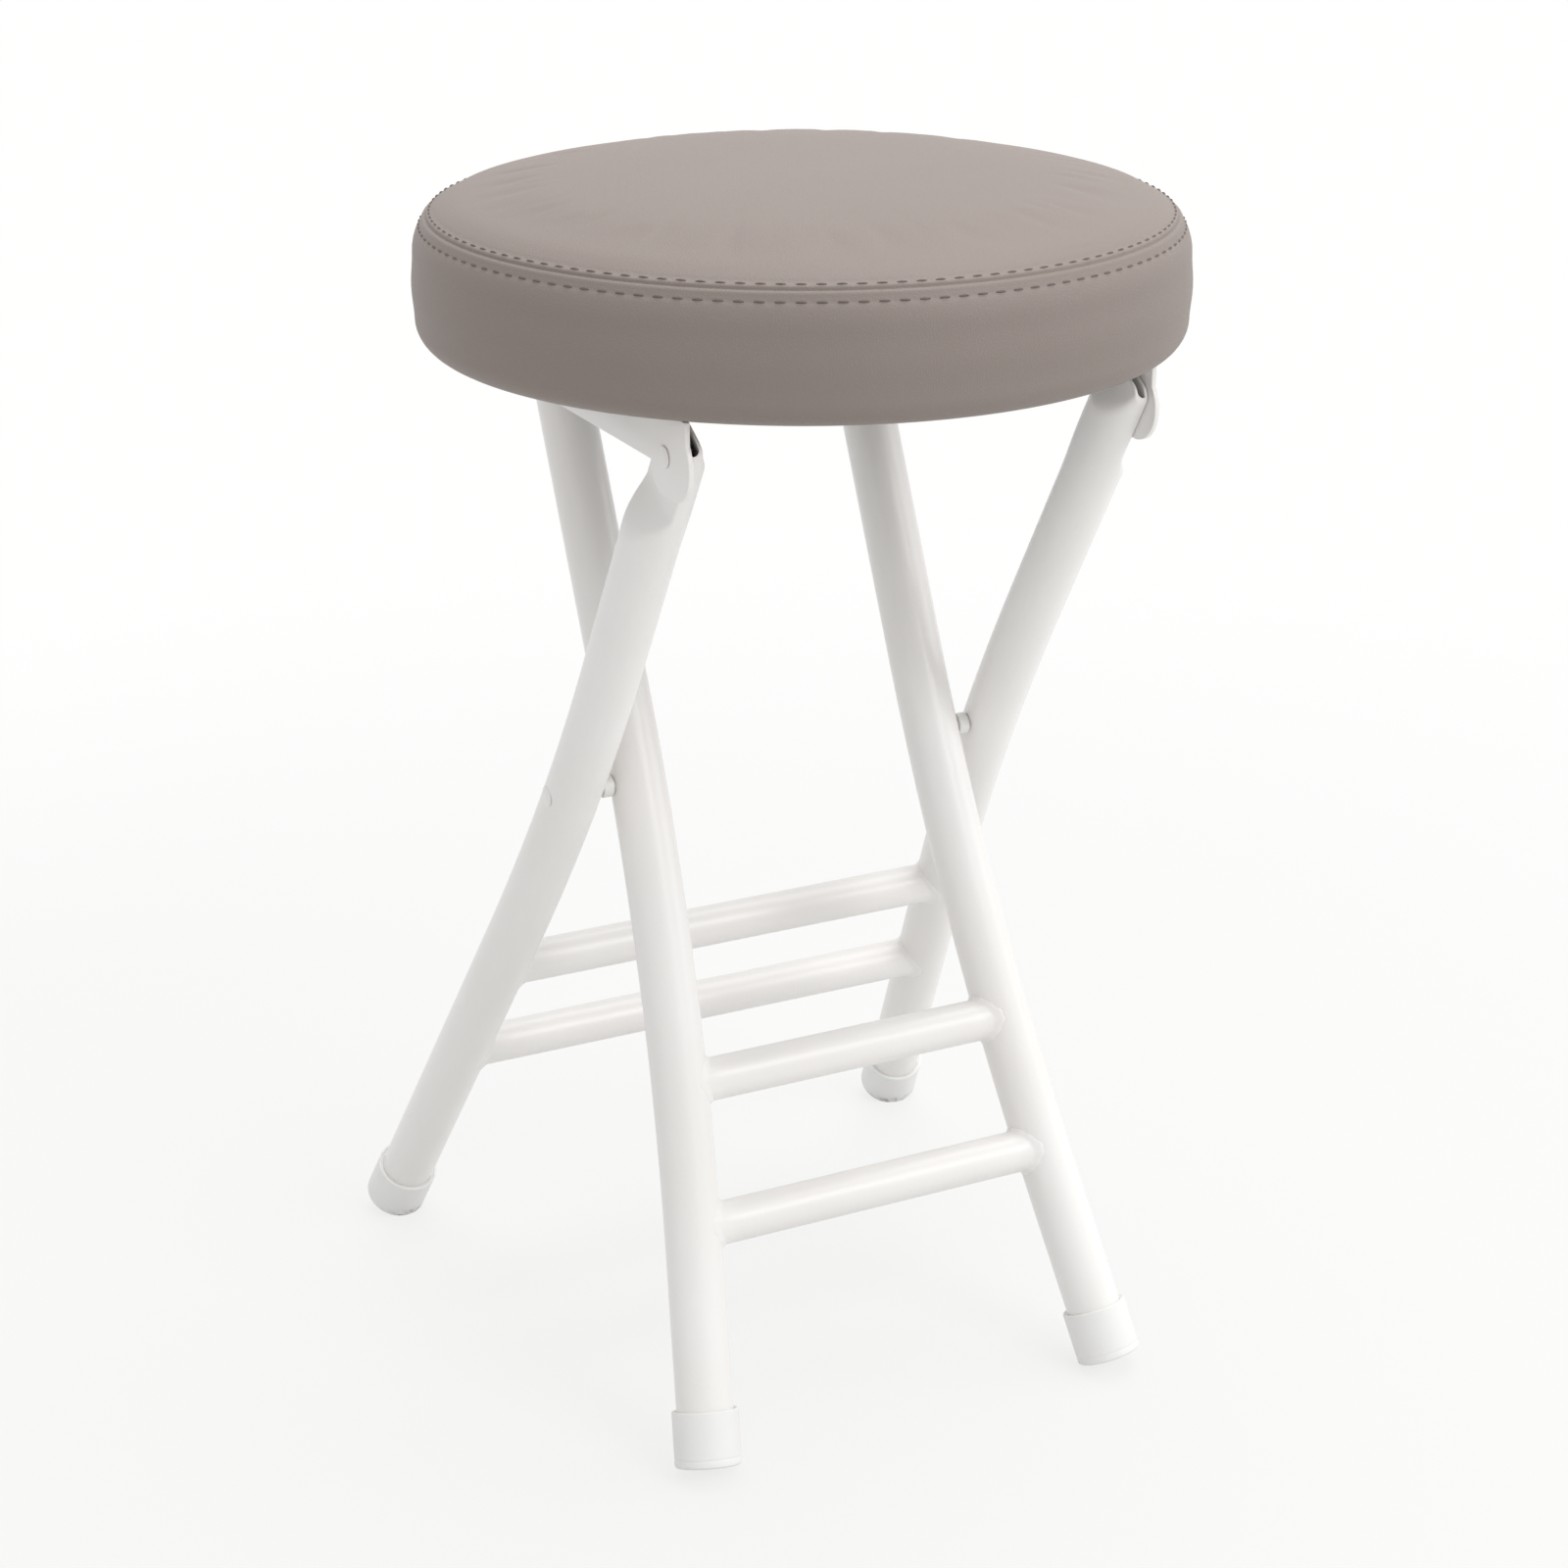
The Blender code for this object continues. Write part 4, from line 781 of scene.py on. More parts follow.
CLOTH_INSET = 0.0015
CLOTH_FRAMES = 20
CLOTH_PRESSURE = 4.0
CLOTH_CAP = 0.0009
SEWN_DEPTH = 0.00035
CLOTH_MIDDLE_HOLE = 0.004
SEAM_MARGIN = 0.003
CLOTH_ROWS_AT_UPPER = np.array([-0.0015, 0, 0.0015])
CLOTH_ROWS_AT_LOWER = np.array([-0.002, 0, 0.002])
CLOTH_BELOW_LOWER = 0.005
CLOTH_HEM_ROW = 0.006
HEM_HOLD = 0.001
AXIS_REACH = 0.001


def swollen_cover():
    """How far the sewn cover swells between its seams, as (ways, columns) of metres.

    A coarse copy that starts a little small is blown up by cloth simulation, held at the
    seam, at each stitch hole and under the board. Each point's way out is set against the
    usual one, so that the free cover keeps the section and the sewn lines lie below it."""
    upper, lower = stitch_ways
    ways = np.unique(np.concatenate([
        np.linspace(CLOTH_MIDDLE_HOLE, upper - SEAM_MARGIN, 26),
        upper + CLOTH_ROWS_AT_UPPER, [seam_way], lower + CLOTH_ROWS_AT_LOWER,
        np.linspace(lower + CLOTH_BELOW_LOWER, hem_start_way, 22),
        [hem_start_way + CLOTH_HEM_ROW, hem_end_way]]))
    points, normals = cushion_grid(ways, CLOTH_COLUMNS, CLOTH_INSET)
    shell = np.concatenate([np.repeat(points[:1].mean(1, keepdims=True), CLOTH_COLUMNS, 1),
                            points,
                            np.repeat(points[-1:].mean(1, keepdims=True), CLOTH_COLUMNS, 1)])
    cover = grid_piece("cover_blank", [shell], white_coat)
    held = cover.vertex_groups.new(name="held")
    spots = np.array([vertex.co[:] for vertex in cover.data.vertices])
    radius = np.hypot(spots[:, 0], spots[:, 1] - SEAT_MIDDLE)
    angle = np.arctan2(spots[:, 1] - SEAT_MIDDLE, spots[:, 0])
    ring_radius = np.hypot(points[:, 0, 0], points[:, 0, 1] - SEAT_MIDDLE)
    ring = np.argmin(np.hypot(radius[:, None] - ring_radius,
                              spots[:, 2:3] - points[:, 0, 2]), axis=1)
    column = np.rint(angle / (2 * np.pi) * CLOTH_COLUMNS).astype(int) % CLOTH_COLUMNS
    is_hole = (column % (CLOTH_COLUMNS // STITCH_COUNT)) == 0
    sewn = ring == np.argmin(np.abs(ways - seam_way))
    for way in stitch_ways:
        sewn |= (ring == np.argmin(np.abs(ways - way))) & is_hole
    on_axis = radius < AXIS_REACH
    sewn |= (ways[ring] >= hem_start_way - HEM_HOLD) | on_axis & (spots[:, 2] < seat_rim)
    held.add(np.nonzero(sewn)[0].tolist(), 1.0, "REPLACE")
    cloth = cover.modifiers.new("swell", "CLOTH")
    cloth.settings.vertex_group_mass = "held"
    cloth.settings.use_pressure = True
    cloth.settings.uniform_pressure_force = CLOTH_PRESSURE
    cloth.settings.quality = 6
    cloth.settings.tension_stiffness = 40
    cloth.settings.compression_stiffness = 40
    cloth.settings.bending_stiffness = 4
    cloth.settings.effector_weights.gravity = 0
    cloth.collision_settings.use_collision = False
    scene = bpy.context.scene
    for step in range(1, CLOTH_FRAMES + 1):
        scene.frame_set(step)
    graph = bpy.context.evaluated_depsgraph_get()
    blown = cover.evaluated_get(graph).to_mesh()
    after = np.array([vertex.co[:] for vertex in blown.vertices])
    scene.frame_set(1)
    turned_ones = ~on_axis
    place = ring[turned_ones], column[turned_ones]
    moved = np.zeros(points.shape[:2])
    moved[place] = np.einsum("ij,ij->i", (after - spots)[turned_ones], normals[place])
    bpy.data.objects.remove(cover, do_unlink=True)
    usual = np.median(moved[ways < hem_start_way])
    return ways, np.clip(moved - usual, -SEWN_DEPTH, CLOTH_CAP)


def spread_over(ways, swell, fine_ways):
    """Swell on a coarse grid read off at fine ways and columns, straight between them."""
    rows = np.clip(np.searchsorted(ways, fine_ways) - 1, 0, len(ways) - 2)
    share = np.clip((fine_ways - ways[rows]) / (ways[rows + 1] - ways[rows]), 0, 1)[:, None]
    by_row = swell[rows] * (1 - share) + swell[rows + 1] * share
    at = np.arange(COVER_COLUMNS) * CLOTH_COLUMNS / COVER_COLUMNS
    left = np.floor(at).astype(int)
    part = at - left
    return by_row[:, left] * (1 - part) + by_row[:, (left + 1) % CLOTH_COLUMNS] * part


def bump(way, middle, width):
    """Bell of height 1 and half width about a way along the section."""
    return np.exp(-((way - middle) / width) ** 2)


SEAM_GROOVE = (0.0005, 0.00045)
SEAM_RIDGE = (0.00042, 0.0011)
SEAM_RIDGE_OFFSET = 0.0015
STITCH_DIMPLE = (0.00030, 0.0010)
STITCH_PULL_CHANGE = 0.4
HEM_PLEAT_DEPTH = 0.0005
HEM_PLEAT_START = 0.004
HEM_PLEATS = 84


def cover_relief(ways, angle):
    """Height of the sewn details over the swollen cover: the groove of the seam between
    two low ridges, a dimple at each stitch, and pleats drawn into the hem."""
    way = ways[:, None]
    upper, lower = stitch_ways
    height = -SEAM_GROOVE[0] * bump(way, seam_way, SEAM_GROOVE[1])
    for offset in (-1, 1):
        height = height + SEAM_RIDGE[0] * bump(way, seam_way + offset * SEAM_RIDGE_OFFSET,
                                               SEAM_RIDGE[1])
    pull = 1 - STITCH_PULL_CHANGE * (1 - np.cos(STITCH_COUNT * angle))[None, :]
    for line in (upper, lower):
        height = height - STITCH_DIMPLE[0] * bump(way, line, STITCH_DIMPLE[1]) * pull
    gather = np.clip((way - hem_start_way + HEM_PLEAT_START) / (hem_end_way - hem_start_way),
                     0, 1)
    wave = (0.5 + 0.5 * np.sin(HEM_PLEATS * angle + 1.3 * np.sin(5 * angle)
                               + 0.9 * np.sin(11 * angle + 1.0)))[None, :]
    return height - HEM_PLEAT_DEPTH * gather ** 1.5 * wave ** 2


def leathercloth_finish():
    """Taupe leathercloth: a fine pebbled grain pressed into a satin face, its valleys darkened
    as painted shade.
    """
    cloth = Finish("taupe_leathercloth", {"Coat Weight": 0.0, "Specular IOR Level": 0.29})
    wander = cloth.node("ShaderNodeVectorMath", {"operation": "SCALE"},
                        {0: cloth.node("ShaderNodeTexNoise", {},
                                       {"Vector": cloth.place, "Scale": 210.0}, "Color"),
                         "Scale": 0.0016})
    warped = cloth.node("ShaderNodeVectorMath", {"operation": "ADD"},
                        {0: cloth.place, 1: wander})
    pebble = cloth.step(cloth.cell_edges(1050, warped), 0.02, 0.34)
    pore = cloth.noise(3600, 2.0, 0.6)
    cloud = cloth.noise(9, 3.0)
    tone = cloth.blend(cloth.step(cloud, 0.25, 0.8), (0.268, 0.224, 0.203),
                       (0.288, 0.241, 0.219))
    # Painted shade: the valleys between the pebbles, low in the relief below, are darkened in
    # the colour.
    tone = cloth.blend((1 - pebble) * 0.30, tone, (0.235, 0.198, 0.181))
    return cloth.feed(Base_Color=tone, Roughness=0.46 + pebble * 0.05 + cloud * 0.06,
                      Normal=cloth.relief(pebble + pore * 0.25, 0.00005))


leathercloth = leathercloth_finish()
upper_way, lower_way = stitch_ways
cover_stops = (0, upper_way - SEAM_MARGIN, lower_way + SEAM_MARGIN, lower_edge_way,
               hem_start_way, hem_end_way)
cover_ways = np.append(ways_between(cover_stops, (29, 41, 13, 11, 9)), section_way[-2:])
cover_points, cover_normals = cushion_grid(cover_ways, COVER_COLUMNS)
cover_angle = 2 * np.pi * np.arange(COVER_COLUMNS) / COVER_COLUMNS
cover_height = cover_relief(cover_ways, cover_angle)
cloth_ways, cloth_swell = swollen_cover()
free = 1 - np.clip((cover_ways - lower_edge_way) / (hem_start_way - lower_edge_way), 0, 1)
cover_height = cover_height + (spread_over(cloth_ways, cloth_swell, cover_ways)
                               * free[:, None])
cover_height[cover_ways > hem_end_way] = 0
cover_points = cover_points + cover_normals * cover_height[..., None]
cover_points[0] = cover_points[0].mean(0)
cushion = grid_piece("seat_cushion", [cover_points], leathercloth)
fit(cushion, "seat", "leathercloth", "seat_cover_top", "seat_cover_side", "seat_foam")

# Stitches: two rows of dark thread, one on each side of the seam, every stitch a short
# flattened length that dives into the cover at both ends.
STITCH_SHARE = 0.66
THREAD_HALF_WIDTH = 0.00036
THREAD_HALF_HEIGHT = 0.00024
THREAD_LIFT = 0.00022
THREAD_DIVE = 0.00034
THREAD_TIP_SHARE = 0.45
THREAD_RINGS = 9
THREAD_SIDES = 6


def thread_finish():
    """Dark brown polyester thread with a fine twist."""
    thread = Finish("dark_thread", {"Coat Weight": 0.0})
    twist = thread.noise(2400, 2.0, 0.6)
    return thread.feed(Base_Color=thread.blend(twist, (0.098, 0.076, 0.070),
                                               (0.160, 0.128, 0.118)),
                       Roughness=0.55 + twist * 0.15, Normal=thread.relief(twist, 0.00006))


def stitch_row(way):
    """Grids of one row of stitches, each centred between two holes: along it points of the
    cover's own surface lifted by the root of half a sine, and round each point a small
    ellipse that shrinks to a tip at the ends."""
    row = np.argmin(np.abs(cover_ways - way))
    share = np.linspace(0, 1, THREAD_RINGS)
    centre = 2 * np.pi * (np.arange(STITCH_COUNT) + 0.5) / STITCH_COUNT
    length = 2 * np.pi * STITCH_SHARE / STITCH_COUNT
    angle = centre[:, None] + length * (share - 0.5)
    at = (angle / (2 * np.pi) * COVER_COLUMNS) % COVER_COLUMNS
    left = np.floor(at).astype(int)
    part = (at - left)[..., None]
    right = (left + 1) % COVER_COLUMNS
    spot = cover_points[row, left] * (1 - part) + cover_points[row, right] * part
    normal = unit(cover_normals[row, left] * (1 - part) + cover_normals[row, right] * part)
    along = np.stack([-np.sin(angle), np.cos(angle), np.zeros_like(angle)], -1)
    beside = np.cross(normal, along)
    swell = np.sqrt(np.clip(np.sin(np.pi * share), 0, 1))
    lift = (THREAD_LIFT + THREAD_DIVE) * swell - THREAD_DIVE
    middle = spot + normal * lift[None, :, None]
    turn_round = 2 * np.pi * np.arange(THREAD_SIDES) / THREAD_SIDES
    thick = THREAD_TIP_SHARE + (1 - THREAD_TIP_SHARE) * swell
    size = np.where((share > 0) & (share < 1), thick, 0)[None, :, None, None]
    ring = (beside[:, :, None, :] * (THREAD_HALF_WIDTH * np.cos(turn_round))[:, None]
            + normal[:, :, None, :] * (THREAD_HALF_HEIGHT * np.sin(turn_round))[:, None])
    return list(middle[:, :, None, :] + ring * size)


stitches = grid_piece("seat_stitches", stitch_row(upper_way) + stitch_row(lower_way),
                      thread_finish())
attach(stitches, "seat")

# Lining: a disc of dark felt under the board that ends where the cover's hem ends, held
# with flat zinc staples near its rim.
LINING_SHEET = 0.001
LINING_SHEET_SHARE = 0.85
LINING_WAVE = 0.00025
LINING_WAVES = 19
LINING_COLUMNS = 180
STAPLE_COUNT = 26
STAPLE_RADIUS = 0.1135
STAPLE_WIDTH = 0.0105
STAPLE_WIRE = (0.0006, 0.00022)
STAPLE_WIRE_SIDES = 8
STAPLE_CLEARANCE = 0.006


def felt_finish():
    """Needled felt: matted fibres in two greys with a rough nap."""
    felt = Finish("grey_felt", {"Coat Weight": 0.0})
    lengthwise = felt.noise(1500, 4.0, 0.7, felt.stretched((1, 0.22, 1)))
    crosswise = felt.noise(1500, 4.0, 0.7, felt.stretched((0.22, 1, 1)))
    fibre = lengthwise * 0.5 + crosswise * 0.5
    cloud = felt.noise(35, 3.0)
    tone = felt.blend(felt.step(fibre, 0.35, 0.65), (0.060, 0.057, 0.055),
                      (0.165, 0.157, 0.150))
    return felt.feed(Base_Color=felt.blend(cloud * 0.35, tone, (0.12, 0.114, 0.109)),
                     Roughness=0.9 + cloud * 0.08, Normal=felt.relief(fibre, 0.0004))


lining_low, lining_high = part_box("seat_lining")
lining_radius = (lining_high.x - lining_low.x) / 2
felt_share = np.concatenate([[0], np.linspace(0.04, 1, 34)])
felt_angle = 2 * np.pi * np.arange(LINING_COLUMNS) / LINING_COLUMNS
felt_wave = LINING_WAVE * felt_share[:, None] ** 2 * (
    0.5 + 0.5 * np.sin(LINING_WAVES * felt_angle + 1.7 * np.sin(3 * felt_angle)))
felt_flat = felt_share[:, None] * lining_radius
felt_ring = np.stack([felt_flat * np.cos(felt_angle),
                      SEAT_MIDDLE + felt_flat * np.sin(felt_angle)], -1)
felt_under = np.concatenate([felt_ring, (lining_low.z + felt_wave)[..., None]], -1)
felt_over = np.concatenate([felt_ring, (lining_low.z + felt_wave / 2 + LINING_SHEET
                                        * LINING_SHEET_SHARE)[..., None]], -1)
lining = grid_piece("underside_felt", [np.concatenate([felt_under, felt_over[::-1]])],
                    felt_finish())
fit(lining, "seat", "lining", "seat_lining")

rail_low, rail_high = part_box("seat_rail_right")
hook_low, hook_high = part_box("crossbar_hook_right")
staple_angle = 2 * np.pi * (np.arange(STAPLE_COUNT) + 0.5) / STAPLE_COUNT
staple_x = np.abs(STAPLE_RADIUS * np.cos(staple_angle))
staple_y = SEAT_MIDDLE + STAPLE_RADIUS * np.sin(staple_angle)
clear = np.ones(STAPLE_COUNT, bool)
for low, high in ((rail_low, rail_high), (hook_low, hook_high)):
    clear &= ((staple_x < low.x - STAPLE_CLEARANCE) | (staple_x > high.x + STAPLE_CLEARANCE)
              | (staple_y < low.y - STAPLE_CLEARANCE) | (staple_y > high.y + STAPLE_CLEARANCE))
staple_share = np.linspace(-1, 1, 11)
staple_size = np.where(np.abs(staple_share) == 1, 0, 1)[:, None, None]
wire_turn = 2 * np.pi * (np.arange(STAPLE_WIRE_SIDES) + 0.5) / STAPLE_WIRE_SIDES
staples = []
for angle in staple_angle[clear]:
    along = np.array([-math.sin(angle), math.cos(angle), 0])
    out = np.array([math.cos(angle), math.sin(angle), 0])
    bent = LINING_SHEET * 0.6 * np.abs(staple_share) ** 14
    spine = (np.array([0, SEAT_MIDDLE, lining_low.z - STAPLE_WIRE[1] / 2])
             + out * STAPLE_RADIUS + staple_share[:, None] * STAPLE_WIDTH / 2 * along
             + bent[:, None] * np.array([0, 0, 1]))
    ring = (out * (STAPLE_WIRE[0] * np.cos(wire_turn))[:, None]
            + np.array([0, 0, 1]) * (STAPLE_WIRE[1] * np.sin(wire_turn))[:, None])
    staples.append(spine[:, None, :] + ring[None] * staple_size)
staple_piece = grid_piece("lining_staples", staples, zinc_steel)
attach(staple_piece, "seat")

# Seat rails: 2 mm steel sheet folded to an angle and powder coated white. The flange is
# screwed up under the board, and the rounded front ear hinges on the outer leg's flat.
RAIL_SHEET = 0.002
RAIL_DEPTH = 0.0196
RAIL_FRONT = 0.0169
RAIL_REAR_CORNER = 0.012
RAIL_FLANGE_WIDTH = 0.018
RAIL_FLANGE_START = 0.018
RAIL_RELIEF = 0.0015
RAIL_BEND = 0.0019
RAIL_EDGE = 0.00035
EAR_RADIUS = 0.0132
EAR_AHEAD = 0.0067
EAR_LOWERED = 0.0011
EAR_REAR_RADIUS = 0.01
EAR_REAR_OFFSET = 0.002


def rail_outline():
    """Side of a rail about its pivot as (back, up): straight edges and a rounded ear. The
    part behind the relief notch stops below the top, where the fold to the flange starts."""
    top = rail_high.z - pivot.z
    fold = top - RAIL_SHEET / 2 - RAIL_BEND
    lower = top - RAIL_DEPTH
    rear = rail_high.y - pivot.y
    meet = math.acos((EAR_AHEAD - RAIL_FRONT) / EAR_RADIUS)
    bottom = -EAR_LOWERED - EAR_RADIUS
    rear_centre = (EAR_REAR_OFFSET, bottom + EAR_REAR_RADIUS)
    rear_end = math.asin((lower - rear_centre[1]) / EAR_REAR_RADIUS)
    notch = fold - RAIL_RELIEF
    front_corner = (RAIL_FLANGE_START - RAIL_RELIEF, top)
    return np.concatenate([
        [(rear, fold), (RAIL_FLANGE_START, fold), (RAIL_FLANGE_START, notch),
         (front_corner[0], notch), front_corner, (-RAIL_FRONT, top)],
        arc((-EAR_AHEAD, -EAR_LOWERED), EAR_RADIUS, meet, 1.5 * np.pi, 40),
        arc(rear_centre, EAR_REAR_RADIUS, -np.pi / 2, rear_end, 16),
        arc((rear - RAIL_REAR_CORNER, lower + RAIL_REAR_CORNER), RAIL_REAR_CORNER,
            -np.pi / 2, 0, 16)])


def folded_rail(name, side):
    """Middle surface of a rail: the side as one face, then the fold as a quarter circle and
    the flange, swept straight along the top edge; Solidify gives the sheet its thickness."""
    middle = side * (rail_high.x - RAIL_SHEET / 2)
    outline = [(middle, pivot.y + back, pivot.z + up) for back, up in rail_outline()]
    turn = np.linspace(0, np.pi / 2, 8)[1:]
    inward = np.append(RAIL_BEND * (1 - np.cos(turn)), RAIL_FLANGE_WIDTH - RAIL_SHEET / 2)
    rise = np.append(RAIL_BEND * np.sin(turn), RAIL_BEND)
    points, faces = list(outline), [list(range(len(outline)))]
    last = (0, 1)
    for across, up in zip(inward, rise):
        for corner in outline[:2]:
            points.append((corner[0] - side * across, corner[1], corner[2] + up))
        fresh = (len(points) - 2, len(points) - 1)
        faces.append([last[1], last[0], fresh[0], fresh[1]])
        last = fresh
    mesh = bpy.data.meshes.new(name)
    mesh.from_pydata(points, [], faces)
    rail = finished(name, mesh, white_coat)
    sheet = rail.modifiers.new("sheet", "SOLIDIFY")
    sheet.thickness = RAIL_SHEET
    sheet.offset = 0
    sheet.use_even_offset = True
    return rail


def with_round_edges(piece, width, segments=3):
    """Bevel a piece's sharp edges, apply its modifiers and shade it smooth again."""
    edges = piece.modifiers.new("edges", "BEVEL")
    edges.width = width
    edges.segments = segments
    edges.limit_method = "ANGLE"
    edges.angle_limit = math.radians(50)
    bpy.context.view_layer.update()
    shown = piece.evaluated_get(bpy.context.evaluated_depsgraph_get())
    mesh = bpy.data.meshes.new_from_object(shown)
    piece.modifiers.clear()
    piece.data = mesh
    mesh.shade_smooth()
    mesh.set_sharp_from_angle(angle=SMOOTH_ANGLE)
    return piece


PRESSED_FACE_X = OUTER_HALF_WIDTH + PRESSED_FLAT
pivot_tail_x = PRESSED_FACE_X - TUBE_WALL - GAP
pivot_head_x = rail_high.x + GAP
for word, side in SIDES.items():
    rail = with_round_edges(folded_rail(f"seat_bracket_{word}", side), RAIL_EDGE)
    fit(rail, "seat", "powder_coated_steel", f"seat_rail_{word}")
    grid = turned(rivet_profile(pivot_head_x - pivot_tail_x), RIVET_SIDES,
                  (pivot_tail_x, pivot.y, pivot.z), (1, 0, 0))
    rivet = grid_piece(f"seat_pivot_pin_{word}", [grid * (side, 1, 1)], white_coat)
    fit(rivet, "seat", "powder_coated_steel", f"seat_pivot_rivet_{word}")

# Screws: zinc plated pan heads with a cross recess. Four hold the rails, through the flange
# into the tee nuts, and four smaller ones hold the hooks.
SCREW_SIDES = 72
RAIL_SCREW = {"head": 0.0045, "height": 0.0028, "shank": 0.0025}
HOOK_SCREW = {"head": 0.0036, "height": 0.0022, "shank": 0.00175}
DOME_DROP = 0.32
DOME_POWER = 2.4
DOME_RIM = (0.8, 0.5)
RECESS_ARM = (0.39, 0.546)
RECESS_HALF_WIDTH = (0.091, 0.169)
RECESS_DEPTH = 0.55


def ramp(value, low, high):
    """Smooth step from 0 at low to 1 at high."""
    share = np.clip((value - low) / (high - low), 0, 1)
    return share * share * (3 - 2 * share)


def screw_grid(sizes, middle, low, high):
    """Screw with its head down: a flattened dome, cut by two crossed slots with sloping
    walls, then the rim of the head, the shank and its end."""
    head, tall, shank = sizes["head"], sizes["height"], sizes["shank"]
    rim_start, rim_drop = DOME_RIM
    angle = 2 * np.pi * np.arange(SCREW_SIDES) / SCREW_SIDES
    share = np.concatenate([np.linspace(0, 0.9, 26), np.sin(np.linspace(1.13, np.pi / 2, 9))])
    dome = tall * (1 - DOME_DROP * share ** DOME_POWER
                   - rim_drop * np.clip((share - rim_start) / (1 - rim_start), 0, 1) ** 3)
    across = np.abs(share[:, None] * np.cos(angle))
    along = np.abs(share[:, None] * np.sin(angle))
    narrow, wide = np.minimum(across, along), np.maximum(across, along)
    slot = (1 - ramp(narrow, *RECESS_HALF_WIDTH)) * (1 - ramp(wide, *RECESS_ARM))
    rise = np.repeat(dome[:, None], SCREW_SIDES, 1) - RECESS_DEPTH * tall * slot
    seat = low + tall
    rows = [np.stack([share[:, None] * head * np.cos(angle),
                      share[:, None] * head * np.sin(angle), seat - rise], -1)]
    for radius, height in ((head, seat), (shank, seat), (shank, high - shank * 0.4),
                           (shank * 0.6, high), (0.0, high)):
        rows.append(np.stack([radius * np.cos(angle), radius * np.sin(angle),
                              np.full(SCREW_SIDES, height)], -1)[None])
    return np.concatenate(rows) + np.array([middle[0], middle[1], 0])


for node_name in [name for name in frame["nodes"] if "_screw_" in name]:
    low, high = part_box(node_name)
    sizes = RAIL_SCREW if node_name.startswith("rail") else HOOK_SCREW
    grid = screw_grid(sizes, ((low.x + high.x) / 2, (low.y + high.y) / 2), low.z, high.z)
    screw = grid_piece(node_name.replace("_screw_", "_pan_head_"), [grid], zinc_steel)
    fit(screw, "seat", "zinc_steel", node_name)

# Hooks: two moulded nylon saddles under the back of the board. Each is a foot with a screw
# at both ends and an open arm that the inner frame's crossbar snaps into.
HOOK_SHEET = 0.0025
HOOK_FOOT_SHEET = 0.0022
HOOK_FRONT_WRAP = math.radians(55)
HOOK_REAR_WRAP = math.radians(105)
HOOK_EDGE = 0.0005
crossbar_y = crossing.y - (crossing.z - CROSSBAR_HEIGHT) * math.tan(INNER_TILT)


def hook_outline():
    """Side of a hook about the crossbar's middle as (back, up): the foot, the outer and
    inner face of the arm as arcs, the arm's tip rounded."""
    inner = TUBE_RADIUS + GAP
    outer = inner + HOOK_SHEET
    low = outer - HOOK_FOOT_SHEET
    shoulder = math.acos(low / outer)
    foot = (hook_high.y - hook_low.y) / 2
    up = math.pi / 2
    tips = []
    for angle, turn in ((up + HOOK_FRONT_WRAP, 0), (up - HOOK_REAR_WRAP, math.pi)):
        middle = (inner + HOOK_SHEET / 2) * np.array([math.cos(angle), math.sin(angle)])
        tips.append(arc(middle, HOOK_SHEET / 2, angle + turn, angle + turn + math.pi, 9)[1:-1])
    return np.concatenate([
        [(-foot, outer), (-foot, low)],
        arc((0, 0), outer, up + shoulder, up + HOOK_FRONT_WRAP, 12), tips[0],
        arc((0, 0), inner, up + HOOK_FRONT_WRAP, up - HOOK_REAR_WRAP, 40), tips[1],
        arc((0, 0), outer, up - HOOK_REAR_WRAP, up - shoulder, 28),
        [(foot, low), (foot, outer)]])


def hook_mesh(name, side):
    """Outline carried straight across the hook's width, with a face at each end."""
    outline = hook_outline()
    count = len(outline)
    points = [(side * across, crossbar_y + back, CROSSBAR_HEIGHT + up)
              for across in (hook_low.x, hook_high.x) for back, up in outline]
    index = np.arange(count)
    following = (index + 1) % count
    faces = np.stack([index, following, following + count, index + count], -1).tolist()
    faces += [index.tolist(), (index + count)[::-1].tolist()]
    mesh = bpy.data.meshes.new(name)
    mesh.from_pydata(points, [], faces)
    return mesh


for word, side in SIDES.items():
    name = f"crossbar_saddle_{word}"
    hook = with_round_edges(finished(name, hook_mesh(name, side), white_nylon), HOOK_EDGE)
    fit(hook, "seat", "nylon", f"crossbar_hook_{word}")

# Floor and light: a plain pale floor that shows white to the camera, keeps a soft shadow
# under the stool and fades into the white surround, and three broad lamps: one overhead,
# one high at the front and one at the right.
FLOOR_REACH = 6.0
FLOOR_COLOUR = (0.68, 0.68, 0.675, 1)
FLOOR_SHADOW_SHARE = 0.25
FLOOR_FADE = (0.35, 1.1)
SURROUND_LEVEL = 0.71
WARM_WHITE = (1, 1, 0.995, 1)
LAMPS = {
    "overhead": ((0.4, 0.2, 2.4), (0.0, 0.0, 0.3), 2.0, 24.5),
    "front": ((0.9, -2.0, 1.9), (0.0, 0.0, 0.25), 1.4, 18.0),
    "right": ((2.2, -0.9, 1.1), (0.0, 0.0, 0.3), 1.4, 7.5),
}


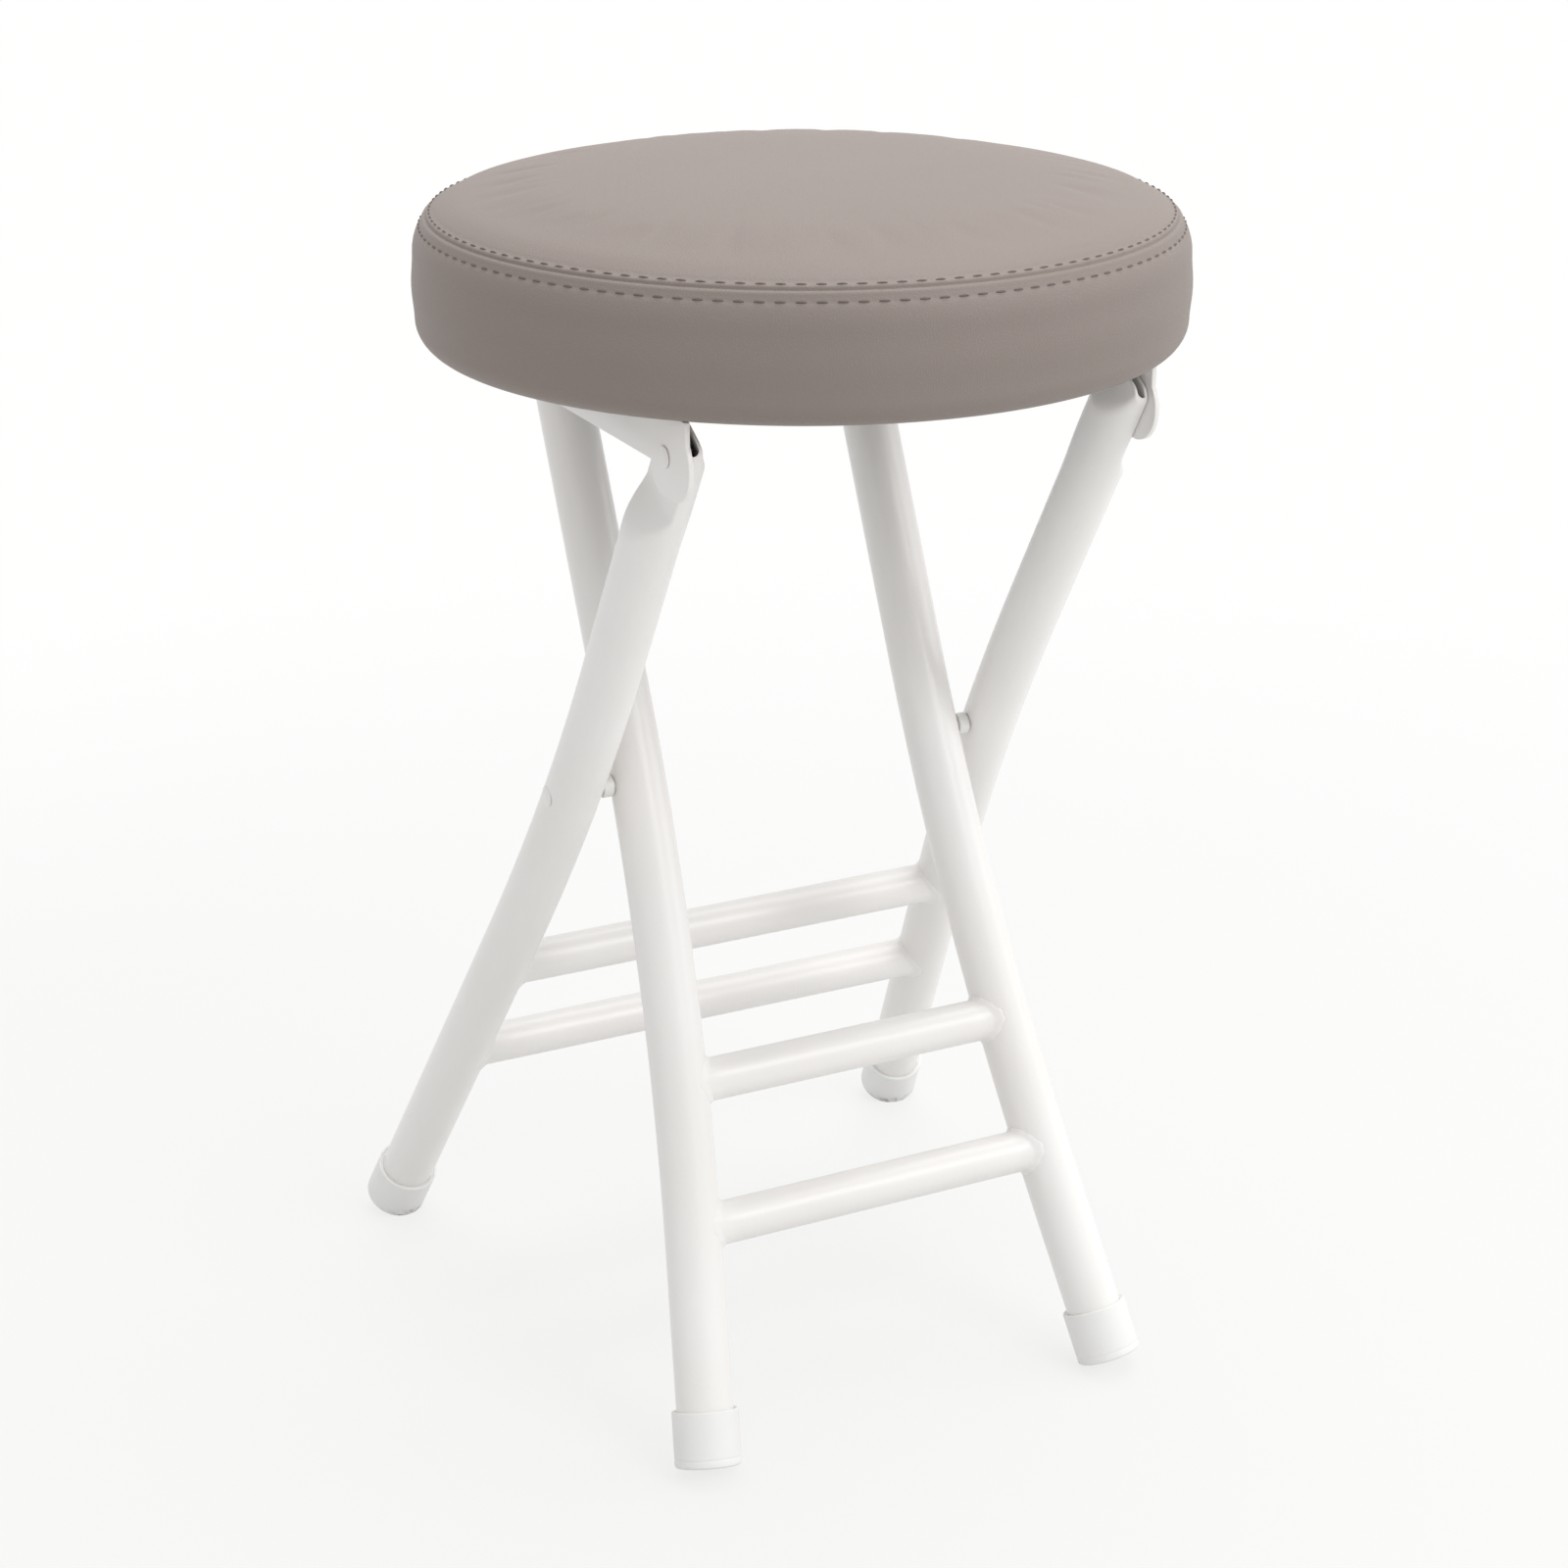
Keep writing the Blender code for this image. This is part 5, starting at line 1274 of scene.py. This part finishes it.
def shown_background(nodes):
    """Above 0 for rays that show the white background: the camera's own, and those that
    come by a mirror or through glass."""
    seen, mirrored, through = (nodes.node("ShaderNodeLightPath", {}, {}, f"Is {kind} Ray")
                               for kind in ("Camera", "Glossy", "Transmission"))
    return seen + mirrored + through


floor_mesh = bpy.data.meshes.new("floor")
floor_mesh.from_pydata([(x * FLOOR_REACH, y * FLOOR_REACH, 0)
                        for x, y in ((-1, -1), (1, -1), (1, 1), (-1, 1))], [], [(0, 1, 2, 3)])
floor = bpy.data.objects.new("floor", floor_mesh)
bpy.context.scene.collection.objects.link(floor)
floor_finish = Finish("pale_floor", {"Base Color": FLOOR_COLOUR, "Roughness": 0.9})
distance = floor_finish.node("ShaderNodeVectorMath", {"operation": "LENGTH"},
                             {0: floor_finish.place}, "Value")
shaded = (1 - floor_finish.step(distance, *FLOOR_FADE)) * FLOOR_SHADOW_SHARE
lit = floor_finish.node("ShaderNodeEmission", {}, {"Color": WARM_WHITE, "Strength": 1.0})
plain = Wire(floor_finish, floor_finish.shader.outputs[0])
shown_white = floor_finish.node("ShaderNodeMixShader", {}, {
    0: shown_background(floor_finish) * (1 - shaded), 1: plain, 2: lit})
floor_output = floor_finish.tree.nodes["Material Output"]
floor_finish.tree.links.new(shown_white.socket, floor_output.inputs["Surface"])
floor_mesh.materials.append(floor_finish.material)

world = bpy.data.worlds.new("surround")
world.use_nodes = True
bpy.context.scene.world = world
surround = Nodes(world.node_tree)
level = surround.node("ShaderNodeMapRange", {}, {
    "Value": shown_background(surround), "To Min": SURROUND_LEVEL, "To Max": 1.0})
background = world.node_tree.nodes["Background"]
background.inputs["Color"].default_value = WARM_WHITE
world.node_tree.links.new(level.socket, background.inputs["Strength"])

for name, (place, aim, size, power) in LAMPS.items():
    lamp_data = bpy.data.lights.new(name, "AREA")
    lamp_data.shape = "DISK"
    lamp_data.size = size
    lamp_data.energy = power
    lamp = bpy.data.objects.new(name, lamp_data)
    bpy.context.scene.collection.objects.link(lamp)
    turn = (Vector(place) - Vector(aim)).to_track_quat("Z", "Y").to_matrix().to_4x4()
    lamp.matrix_world = Matrix.Translation(place) @ turn
bpy.context.scene.view_settings.view_transform = "Standard"

bpy.context.view_layer.update()
